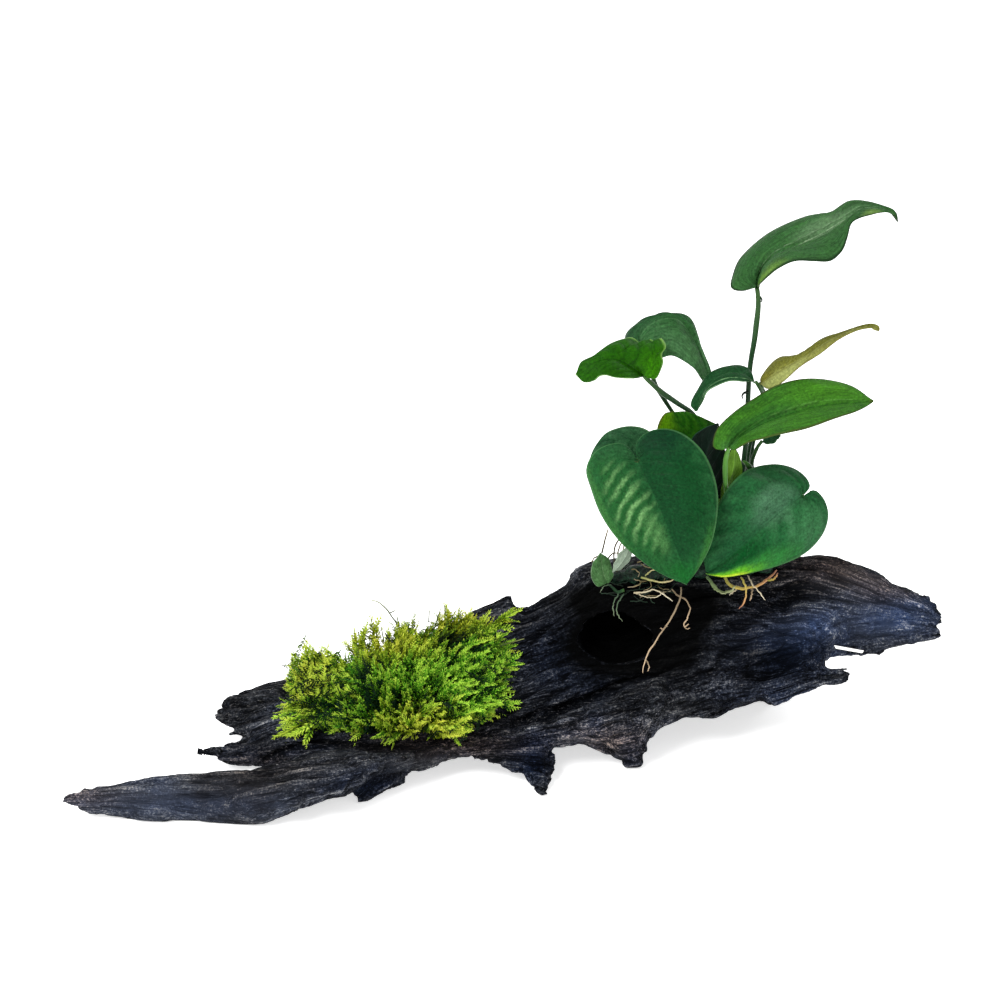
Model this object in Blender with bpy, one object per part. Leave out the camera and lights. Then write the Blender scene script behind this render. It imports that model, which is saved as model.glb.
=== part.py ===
# Anubias barteri and a clump of moss growing on a dark piece of driftwood.
#
# The outlines are measured on one front view of the object, seen from 25 degrees above the
# ground. That view is a sheet of 1000 by 1000 steps, counted from its top left corner, and a
# step is 0.45 mm at the middle of the object. A point is written (across, down, back): two
# places on the sheet, and how far behind the front edge the point lies, in millimetres.
import math

import bmesh
import bpy
import numpy as np
from mathutils import Vector
from mathutils.geometry import delaunay_2d_cdt

MM = 0.001

# The front view
VIEW_TILT = math.radians(25.0)
VIEW_DISTANCE = 1250.0
VIEW_STEP = 0.45
SHEET_MIDDLE = 500.0
VIEW_TARGET = np.array([0.0, 70.0, 129.0])

# The whole object: the middle of its footprint in the view's own millimetres
FOOTPRINT_MIDDLE = np.array([7.0, 72.0, 0.0])

# Wood
MOST_FACET = 12.5
ROW_SPACING = 0.87
GRID_FROM_RIM = 0.42
RIM_HALF = 0.7
FOOT_HEIGHT = 1.2
FORK_GAP = 0.3
WOOD_FACES_KEPT = 0.6
FLAT_BELOW = 0.5
SHARP_ANGLE = 50.0

# The cave in the front of the wood, and the hidden foot at the back right (x, y, z, radius)
CAVE_MIDDLE = (618, 634, 92)
CAVE_RADII = np.array([19.0, 22.0, 13.0])
REAR_LEG = [(124, 104, 44, 17), (127, 112, 24, 14), (130, 121, 8, 11), (131, 124, 0, 10)]

# Boxes that part the wood into nodes, in the view's own millimetres
FORKS = [
    ("front_prong", (-260, -60, -10), (-88, 42, 60)),
    ("middle_prong", (-260, 42.3, -10), (-112, 62.5, 60)),
    ("back_prong", (-260, 62.8, -10), (-104, 150, 60)),
    ("right_lower_prong", (132, 20, 10), (300, 87, 42)),
    ("right_end", (158, 60, 10), (300, 200, 120)),
]

# Moss
MOSS_BACK = 112.0
MOSS_THINNEST = 8.0
MOSS_ROUNDING = 14.0
MOSS_FACET = 20.0
MOSS_FACES_KEPT = 0.7

# Plant
BLADE_ROWS = 12
SMALL_BLADE_ROWS = 8
HALF_COLUMNS = 2
MIDRIB_STEPS = 60
BLADE_THICKNESS = 1.1
PETIOLE_RADII = (1.1, 0.9, 0.8)
PETIOLE_FOOT_DOWN = 553.0
RHIZOME_RADII = (2.7, 4.5, 4.05, 4.5, 4.3, 2.7)
RHIZOME_CLEARANCE = 7.5
ROOT_CLEARANCE = 1.4
TOUCH_GAP = 0.35

# Curves and surfaces through given points
CURVE_STEPS = 12
PLATE_EASE = 20.0


# Points and curves

def in_view(across, down, back):
    """Object millimetres of a point of the front view."""
    toward = np.array([0.0, -math.cos(VIEW_TILT), math.sin(VIEW_TILT)])
    upward = np.array([0.0, math.sin(VIEW_TILT), math.cos(VIEW_TILT)])
    eye = VIEW_TARGET + toward * VIEW_DISTANCE
    steps_away = VIEW_DISTANCE / VIEW_STEP
    ray = upward * (SHEET_MIDDLE - down) / steps_away - toward
    ray[0] = (across - SHEET_MIDDLE) / steps_away
    return eye + ray * (back - eye[1]) / ray[1]


def place(point):
    """World metres of a point in the view's own millimetres."""
    return Vector((np.asarray(point) - FOOTPRINT_MIDDLE) * MM)


def smooth_line(points, count):
    """Evenly spread points on a Catmull-Rom curve through the given ones."""
    points = np.array(points, float)
    ends = np.vstack([2 * points[0] - points[1], points, 2 * points[-1] - points[-2]])
    curve = []
    for index in range(len(points) - 1):
        a, b, c, d = ends[index:index + 4]
        for t in np.linspace(0.0, 1.0, CURVE_STEPS, endpoint=False):
            bend = (2 * a - 5 * b + 4 * c - d) * t * t + (3 * b - a - 3 * c + d) * t ** 3
            curve.append(0.5 * (2 * b + (c - a) * t + bend))
    curve = np.array(curve + [points[-1]])
    length = np.concatenate([[0.0], np.cumsum(np.linalg.norm(np.diff(curve, axis=0), axis=1))])
    wanted = np.linspace(0.0, length[-1], count)
    return np.stack([np.interp(wanted, length, curve[:, axis]) for axis in range(curve.shape[1])], 1)


def smooth_field(places, values):
    """A thin plate through values at places of the view."""
    places = np.array(places, float)
    values = np.array(values, float)

    def spread(distance):
        return distance ** 2 * np.log(distance + 1e-9)

    size = len(places)
    apart = np.linalg.norm(places[:, None] - places[None], axis=2)
    flat = np.hstack([np.ones((size, 1)), places])
    system = np.zeros((size + 3, size + 3))
    system[:size, :size] = spread(apart) + np.eye(size) * PLATE_EASE
    system[:size, size:] = flat
    system[size:, :size] = flat.T
    weights = np.linalg.solve(system, np.concatenate([values, np.zeros(3)]))

    def field(where):
        where = np.atleast_2d(np.array(where, float))
        near = spread(np.linalg.norm(where[:, None] - places[None], axis=2))
        return near @ weights[:size] + weights[size] + where @ weights[size + 1:]

    return field


# Materials

def material(name, colour, roughness):
    made = bpy.data.materials.get(name)
    if made:
        return made
    made = bpy.data.materials.new(name)
    made.use_nodes = True
    shader = made.node_tree.nodes["Principled BSDF"]
    shader.inputs["Base Color"].default_value = (*colour, 1.0)
    shader.inputs["Roughness"].default_value = roughness
    shader.inputs["Metallic"].default_value = 0.0
    return made


def charred_wood():
    return material("charred_wood", (0.018, 0.018, 0.022), 0.5)


def green_leaf():
    return material("green_leaf", (0.02, 0.13, 0.025), 0.4)


def dark_leaf():
    return material("dark_leaf", (0.008, 0.05, 0.02), 0.4)


def bright_leaf():
    return material("bright_leaf", (0.09, 0.28, 0.02), 0.45)


def olive_leaf():
    return material("olive_leaf", (0.25, 0.24, 0.03), 0.5)


def green_stalk():
    return material("green_stalk", (0.03, 0.09, 0.03), 0.45)


def root_skin():
    return material("root_skin", (0.42, 0.25, 0.12), 0.6)


def green_root():
    return material("green_root", (0.16, 0.2, 0.08), 0.6)


def moss_green():
    return material("moss_green", (0.16, 0.3, 0.01), 0.8)


# Objects

def add_object(name, mesh, colour):
    made = bpy.data.objects.new(name, mesh)
    bpy.context.scene.collection.objects.link(made)
    mesh.materials.clear()
    mesh.materials.append(colour)
    return made


def smooth_shading(mesh):
    mesh.shade_smooth()
    mesh.set_sharp_from_angle(angle=math.radians(SHARP_ANGLE))


def apply_boolean(target, operation, other):
    """The target after one Boolean with another object, which is then removed."""
    step = target.modifiers.new(operation.lower(), "BOOLEAN")
    step.operation = operation
    step.solver = "EXACT"
    step.object = other
    graph = bpy.context.evaluated_depsgraph_get()
    mesh = bpy.data.meshes.new_from_object(target.evaluated_get(graph))
    target.modifiers.clear()
    target.data = mesh
    bpy.data.objects.remove(other)
    return target


def thinned(target, kept):
    """The target with only a share of its facets, the flattest ones merged first."""
    step = target.modifiers.new("thinned", "DECIMATE")
    step.ratio = kept
    graph = bpy.context.evaluated_depsgraph_get()
    mesh = bpy.data.meshes.new_from_object(target.evaluated_get(graph))
    target.modifiers.clear()
    target.data = mesh


def box_between(name, low, high):
    """A box given by two corners in the view's own millimetres."""
    low, high = np.array(low, float), np.array(high, float)
    mesh = bpy.data.meshes.new(name)
    sheet = bmesh.new()
    bmesh.ops.create_cube(sheet, size=1.0)
    for vertex in sheet.verts:
        vertex.co = place((low + high) / 2 + np.array(vertex.co) * (high - low))
    sheet.to_mesh(mesh)
    sheet.free()
    return add_object(name, mesh, charred_wood())


# Wood bodies: a closed outline of the front view, swollen toward and away from the viewer

def inside(outline, where):
    outline = np.array(outline, float)
    where = np.array(where, float)
    found = np.zeros(len(where), bool)
    for start, end in zip(outline, np.roll(outline, -1, axis=0)):
        crosses = (start[1] > where[:, 1]) != (end[1] > where[:, 1])
        rise = end[1] - start[1] if end[1] != start[1] else 1e-9
        edge = start[0] + (where[:, 1] - start[1]) * (end[0] - start[0]) / rise
        found ^= crosses & (where[:, 0] < edge)
    return found


def edge_distance(outline, where):
    outline = np.array(outline, float)
    where = np.array(where, float)
    nearest = np.full(len(where), 1e9)
    for start, end in zip(outline, np.roll(outline, -1, axis=0)):
        along = end - start
        share = np.clip(((where - start) @ along) / max(along @ along, 1e-9), 0.0, 1.0)
        nearest = np.minimum(nearest, np.linalg.norm(where - start - share[:, None] * along, axis=1))
    return nearest


def divided(outline, most):
    """The outline with its long edges cut so that none is longer than the given one."""
    points = []
    for start, end in zip(outline, outline[1:] + outline[:1]):
        pieces = max(1, math.ceil(math.dist(start, end) / most))
        for step in range(pieces):
            share = step / pieces
            points.append((start[0] + (end[0] - start[0]) * share, start[1] + (end[1] - start[1]) * share))
    return points


def hollow_depth(hollows, where):
    """How far hollows press a face in at places of the view."""
    depth = np.zeros(len(where))
    for across, down, half_long, half_wide, lean, deep in hollows:
        spin = math.radians(lean)
        offset = where - np.array([across, down])
        along = offset[:, 0] * math.cos(spin) + offset[:, 1] * math.sin(spin)
        beside = offset[:, 1] * math.cos(spin) - offset[:, 0] * math.sin(spin)
        depth += deep * np.exp(-(along / half_long) ** 2 - (beside / half_wide) ** 2)
    return depth


class WoodBody:
    """One swollen piece of the wood, known by its outline and its front and back depths."""

    def __init__(self, outline, depths, rounding, hollows=(), back_hollows=()):
        self.outline = [tuple(map(float, point)) for point in outline]
        places = [row[:2] for row in depths]
        self.front_field = smooth_field(places, [row[2] for row in depths])
        self.back_field = smooth_field(places, [row[3] for row in depths])
        self.rounding = rounding
        self.hollows = hollows
        self.back_hollows = back_hollows

    def faces_at(self, where):
        """Front and back depth at places of the view."""
        where = np.array(where, float)
        front = self.front_field(where)
        back = np.maximum(self.back_field(where), front + 2 * RIM_HALF)
        middle = (front + back) / 2
        reach = np.clip(edge_distance(self.outline, where) / self.rounding, 0.0, 1.0)
        swell = np.sqrt(1.0 - (1.0 - reach) ** 2)
        near = middle - RIM_HALF - (middle - front) * swell
        far = middle + RIM_HALF + (back - middle - hollow_depth(self.back_hollows, where)) * swell
        pressed = near + hollow_depth(self.hollows, where) * swell
        return np.minimum(pressed, far - 4 * RIM_HALF * swell - RIM_HALF), far

    def build(self, name, facet):
        rim = divided(self.outline, facet)
        low = np.min(rim, axis=0)
        high = np.max(rim, axis=0)
        grid = []
        for row, down in enumerate(np.arange(low[1], high[1], facet * ROW_SPACING)):
            for across in np.arange(low[0] + (row % 2) * facet / 2, high[0], facet):
                grid.append((across, down))
        grid = np.array(grid)
        keep = inside(rim, grid) & (edge_distance(rim, grid) > facet * GRID_FROM_RIM)
        points = [Vector(point) for point in rim] + [Vector(point) for point in grid[keep]]
        edges = [(index, (index + 1) % len(rim)) for index in range(len(rim))]
        flat, _, faces, *_ = delaunay_2d_cdt(points, edges, [list(range(len(rim)))], 1, 0.01)
        places = np.array([tuple(point) for point in flat])
        front, back = self.faces_at(places)
        corners = []
        for (across, down), depth in zip(places, front):
            point = in_view(across, down, depth)
            point[2] = max(point[2], FOOT_HEIGHT)
            corners.append(place(point))
        for (across, down), depth in zip(places, back):
            point = in_view(across, down, depth)
            point[2] = max(point[2], 0.0)
            corners.append(place(point))
        count = len(places)
        sides = {}
        for face in faces:
            for start, end in zip(face, face[1:] + face[:1]):
                sides[(start, end)] = sides.get((start, end), 0) + 1
        border = [pair for pair in sides if (pair[1], pair[0]) not in sides]
        shell = [tuple(face) for face in faces]
        shell += [tuple(index + count for index in reversed(face)) for face in faces]
        shell += [(end, start, start + count, end + count) for start, end in border]
        mesh = bpy.data.meshes.new(name)
        mesh.from_pydata(corners, [], shell)
        mesh.validate()
        sheet = bmesh.new()
        sheet.from_mesh(mesh)
        bmesh.ops.recalc_face_normals(sheet, faces=sheet.faces)
        bmesh.ops.triangulate(sheet, faces=[face for face in sheet.faces if len(face.verts) > 3])
        sheet.to_mesh(mesh)
        sheet.free()
        return add_object(name, mesh, charred_wood())


# The long log at the front, from its tip at the left to where it enters the slab
FRONT_LOG = WoodBody(
    outline=[
        (60, 798), (67, 794), (80, 792), (87, 785), (104, 784), (130, 782), (146, 777), (161, 775),
        (202, 774), (248, 769), (279, 761), (294, 756), (305, 751), (331, 750), (375, 751),
        (420, 744), (460, 736), (521, 721), (567, 707), (613, 687), (659, 672), (684, 680),
        (676, 712), (656, 732), (647, 754), (645, 766), (640, 768), (637, 762), (641, 770), (625, 771),
        (618, 762), (602, 751), (582, 746), (558, 748), (530, 748), (491, 751), (460, 756),
        (425, 759), (394, 771), (372, 783), (349, 797), (330, 802), (300, 809), (282, 817),
        (264, 823), (245, 826), (207, 822), (175, 820), (168, 824), (157, 823), (136, 821),
        (120, 816), (91, 814), (73, 807), (62, 803),
    ],
    depths=[
        (60, 798, 8, 10), (100, 800, 6, 18), (170, 797, 2, 25), (170, 777, 14, 20), (170, 820, 4, 7),
        (245, 826, 1, 4), (245, 798, -3, 24), (245, 770, 18, 26), (300, 782, 2, 34), (300, 753, 32, 38),
        (350, 770, 8, 42), (420, 752, 22, 54), (420, 745, 32, 48), (500, 738, 34, 72),
        (500, 726, 44, 70),
        (560, 728, 38, 80), (560, 710, 46, 84), (610, 720, 42, 86), (628, 771, 49, 52),
        (630, 750, 45, 60),
        (655, 700, 50, 92), (680, 690, 58, 96), (560, 749, 46, 60), (460, 757, 34, 46),
    ],
    rounding=16.0,
    hollows=[(205, 800, 70, 9, 1, 3.0), (590, 738, 9, 14, 10, 3.0)],
)

# The wide slab behind it: two prongs at the left, the cave and the long tapering end at the right
SLAB = WoodBody(
    outline=[
        (197, 752), (201, 748), (223, 744), (246, 738), (246, 735), (228, 735), (236, 729), (221, 724),
        (214, 715), (223, 702), (238, 691), (264, 684), (294, 677), (340, 664), (390, 648), (440, 634),
        (478, 622), (521, 605), (536, 598), (552, 590), (566, 585), (570, 576), (575, 568), (590, 562),
        (640, 556), (700, 552), (760, 549), (807, 552), (820, 550), (832, 555), (850, 561), (864, 566),
        (879, 573), (895, 584), (911, 588), (930, 595), (938, 603), (944, 615), (945, 623), (940, 624),
        (940, 630), (943, 635), (936, 640), (913, 646), (895, 648), (879, 657), (864, 657), (844, 656),
        (832, 657), (824, 664), (832, 668), (848, 668), (850, 673), (854, 676), (850, 682), (834, 686),
        (824, 685), (809, 692), (795, 697), (779, 707), (773, 709), (762, 703), (742, 710), (720, 720),
        (713, 722), (701, 719), (685, 718), (671, 724), (656, 729), (620, 734), (560, 738), (500, 744),
        (430, 752), (380, 764), (330, 770), (290, 768), (255, 767), (232, 766), (218, 762), (215, 757),
        (205, 756),
    ],
    depths=[
        (197, 752, 46, 49), (214, 715, 76, 80), (250, 700, 86, 108), (225, 756, 45, 58),
        (240, 720, 72, 84),
        (290, 730, 55, 92), (262, 752, 50, 66), (300, 690, 90, 120), (340, 700, 72, 112),
        (290, 768, 52, 60), (330, 768, 48, 60), (380, 744, 44, 70), (380, 700, 68, 112),
        (390, 655, 106, 124), (460, 740, 38, 72),
        (460, 690, 72, 120), (470, 628, 108, 122), (540, 735, 46, 80), (540, 690, 62, 120),
        (540, 640, 84, 126), (540, 608, 102, 122), (600, 580, 98, 130), (600, 640, 76, 138),
        (600, 700, 58, 116), (680, 575, 98, 130), (680, 610, 84, 142), (680, 660, 68, 142),
        (680, 705, 57, 98), (760, 565, 102, 130), (760, 600, 88, 144), (760, 650, 73, 146),
        (760, 690, 64, 108), (820, 560, 106, 128), (820, 600, 92, 142), (830, 640, 82, 126),
        (880, 590, 104, 128), (880, 630, 94, 116), (935, 615, 106, 113), (845, 677, 68, 76),
        (850, 655, 96, 104),
        (773, 706, 66, 74), (713, 720, 58, 68),
    ],
    rounding=26.0,
    hollows=[
        (612, 636, 44, 28, -8, 9.0), (664, 642, 40, 18, -16, 8.0), (792, 600, 50, 17, -8, 10.0),
        (735, 630, 40, 13, -6, 5.0), (762, 668, 66, 15, -22, 9.0), (612, 700, 110, 14, -22, 8.0),
        (868, 624, 50, 13, 6, 5.0), (548, 650, 44, 14, -38, 5.0), (268, 714, 40, 11, -8, 4.0),
    ],
    back_hollows=[
        (620, 650, 70, 17, -14, 9.0), (716, 602, 60, 14, -8, 8.0), (800, 640, 60, 15, -10, 8.0),
        (700, 668, 60, 13, -18, 7.0), (450, 690, 70, 18, -22, 10.0), (560, 700, 60, 14, -20, 7.0),
        (360, 690, 40, 14, -16, 6.0), (880, 612, 34, 12, 10, 4.0),
    ],
)

# The small prong that stands up behind the moss
UPPER_PRONG = WoodBody(
    outline=[
        (455, 618), (471, 607), (491, 601), (506, 594), (513, 594), (515, 600), (521, 605),
        (535, 622), (530, 650), (490, 655), (460, 645),
    ],
    depths=[
        (471, 607, 108, 116), (510, 596, 110, 114), (500, 615, 102, 120), (530, 640, 92, 122),
        (470, 645, 98, 124), (455, 620, 108, 118),
    ],
    rounding=12.0,
)

# The dark spike under the middle, which stands on the ground
MIDDLE_SPIKE = WoodBody(
    outline=[
        (465, 757), (480, 761), (498, 766), (517, 774), (527, 782), (536, 794), (542, 798), (548, 798),
        (552, 775), (559, 767), (559, 761), (556, 756), (557, 744), (556, 728), (500, 732), (466, 745),
    ],
    depths=[
        (542, 797, 25, 28), (548, 797, 25, 28), (540, 778, 30, 42), (520, 765, 36, 50),
        (556, 765, 36, 48),
        (556, 735, 44, 66), (480, 755, 36, 50), (480, 742, 42, 66),
    ],
    rounding=10.0,
)

# The low fin under the front log
FIN = WoodBody(
    outline=[
        (351, 796), (356, 803), (362, 805), (368, 803), (379, 797), (397, 788), (416, 772), (430, 771),
        (440, 767), (449, 761), (464, 757), (464, 742), (420, 746), (380, 762), (350, 780),
    ],
    depths=[
        (362, 805, 18, 21), (352, 794, 20, 26), (380, 785, 22, 36), (420, 765, 30, 48),
        (460, 750, 36, 54),
        (380, 765, 24, 44),
    ],
    rounding=10.0,
)


def cave_cutter():
    """The dark cave in the front of the slab: a lying egg that opens toward the viewer."""
    mesh = bpy.data.meshes.new("cave")
    sheet = bmesh.new()
    bmesh.ops.create_icosphere(sheet, subdivisions=2, radius=1.0)
    middle = in_view(*CAVE_MIDDLE)
    for vertex in sheet.verts:
        wobble = 1.0 + 0.08 * math.sin(5 * vertex.co.x + 3 * vertex.co.z)
        vertex.co = place(middle + np.array(vertex.co) * CAVE_RADII * wobble)
    sheet.to_mesh(mesh)
    sheet.free()
    return add_object("cave", mesh, charred_wood())


def tapering_leg(name, points, sides=12):
    """A stub of wood along points (x, y, z, radius) in view millimetres."""
    line = smooth_line(points, 9)
    sheet = bmesh.new()
    rings = []
    for index, (x, y, z, radius) in enumerate(line):
        ring = []
        for step in range(sides):
            turn = math.tau * step / sides
            swell = radius * (1.0 + 0.16 * math.sin(3 * turn + index))
            ring.append(sheet.verts.new(place((x + math.cos(turn) * swell, y + math.sin(turn) * swell, z))))
        rings.append(ring)
    for lower, upper in zip(rings, rings[1:]):
        for step in range(sides):
            following = (step + 1) % sides
            sheet.faces.new((lower[step], lower[following], upper[following], upper[step]))
    sheet.faces.new(list(reversed(rings[0])))
    sheet.faces.new(rings[-1])
    bmesh.ops.recalc_face_normals(sheet, faces=sheet.faces)
    bmesh.ops.triangulate(sheet, faces=sheet.faces)
    mesh = bpy.data.meshes.new(name)
    sheet.to_mesh(mesh)
    sheet.free()
    return add_object(name, mesh, charred_wood())


def build_wood():
    """All the wood as one solid, then cut into a trunk and its prongs at the forks."""
    trunk = SLAB.build("trunk", MOST_FACET)
    for name, body in (("log", FRONT_LOG), ("upper", UPPER_PRONG), ("spike", MIDDLE_SPIKE),
    ("fin", FIN)):
        apply_boolean(trunk, "UNION", body.build(name, MOST_FACET))
    apply_boolean(trunk, "UNION", tapering_leg("rear", REAR_LEG))
    apply_boolean(trunk, "DIFFERENCE", cave_cutter())
    thinned(trunk, WOOD_FACES_KEPT)
    for vertex in trunk.data.vertices:
        if vertex.co.z < FLAT_BELOW * MM:
            vertex.co.z = 0.0
    whole = trunk.data.copy()
    prongs = []
    for name, low, high in FORKS:
        piece = bpy.data.objects.new(name, trunk.data.copy())
        bpy.context.scene.collection.objects.link(piece)
        apply_boolean(piece, "INTERSECT", box_between("inside_" + name, low, high))
        widened = [value - FORK_GAP for value in low], [value + FORK_GAP for value in high]
        apply_boolean(trunk, "DIFFERENCE", box_between("outside_" + name, *widened))
        prongs.append(piece)
    for piece in [trunk, *prongs]:
        piece.data.materials.clear()
        piece.data.materials.append(charred_wood())
        smooth_shading(piece.data)
    return whole


def wood_depth(across, down):
    """Depth of the nearest wood behind a place of the view, or a far one where there is none."""
    nearest = 1000.0
    for body in (SLAB, FRONT_LOG, UPPER_PRONG):
        if inside(body.outline, [(across, down)])[0]:
            nearest = min(nearest, body.faces_at([(across, down)])[0][0])
    return nearest


# Moss: a low dome on the left half of the wood, which reaches the tips of the sprigs

MOSS_OUTLINE = [
    (275, 739), (273, 718), (287, 668), (301, 645), (323, 646), (346, 645), (360, 626), (371, 612),
    (392, 619), (412, 616), (444, 605), (459, 606), (476, 610), (502, 613), (518, 632), (520, 661),
    (518, 700), (500, 722), (475, 738), (459, 745), (420, 746), (383, 744), (349, 739), (310, 742),
]
MOSS_DEPTHS = [
    (275, 735, 60), (275, 710, 72), (290, 670, 98), (330, 738, 46), (330, 700, 58), (330, 655, 96),
    (390, 742, 36), (390, 715, 38), (390, 680, 54), (390, 645, 82), (390, 620, 102), (450, 742, 25),
    (450, 715, 32), (450, 680, 50), (450, 640, 78), (450, 608, 102), (505, 715, 42), (510, 680, 56),
    (510, 640, 84), (505, 615, 98),
]


def keep_largest_island(mesh):
    """Removes every loose scrap but the one with the most surface."""
    sheet = bmesh.new()
    sheet.from_mesh(mesh)
    islands = []
    left = set(sheet.faces)
    while left:
        reached = {left.pop()}
        edge = list(reached)
        while edge:
            face = edge.pop()
            beside = {other for side in face.edges for other in side.link_faces} & left
            left -= beside
            reached |= beside
            edge += beside
        islands.append(reached)
    islands.sort(key=lambda faces: sum(face.calc_area() for face in faces))
    for scrap in islands[:-1]:
        bmesh.ops.delete(sheet, geom=list(scrap), context="FACES")
    sheet.to_mesh(mesh)
    sheet.free()


def build_moss(wood):
    """The dome less the wood below it, which is first swollen by the gap between the two."""
    depths = [
        (across, down, front, max(front + MOSS_THINNEST, MOSS_BACK))
        for across, down, front in MOSS_DEPTHS
    ]
    moss = WoodBody(MOSS_OUTLINE, depths, MOSS_ROUNDING).build("moss_clump", MOSS_FACET)
    under = bpy.data.objects.new("under_moss", wood)
    bpy.context.scene.collection.objects.link(under)
    for vertex in wood.vertices:
        vertex.co += vertex.normal * TOUCH_GAP * MM
    apply_boolean(moss, "DIFFERENCE", under)
    thinned(moss, MOSS_FACES_KEPT)
    keep_largest_island(moss.data)
    moss.data.materials.clear()
    moss.data.materials.append(moss_green())
    smooth_shading(moss.data)


# Leaves: each blade runs between its left margin, midrib and right margin, from base to tip

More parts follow.
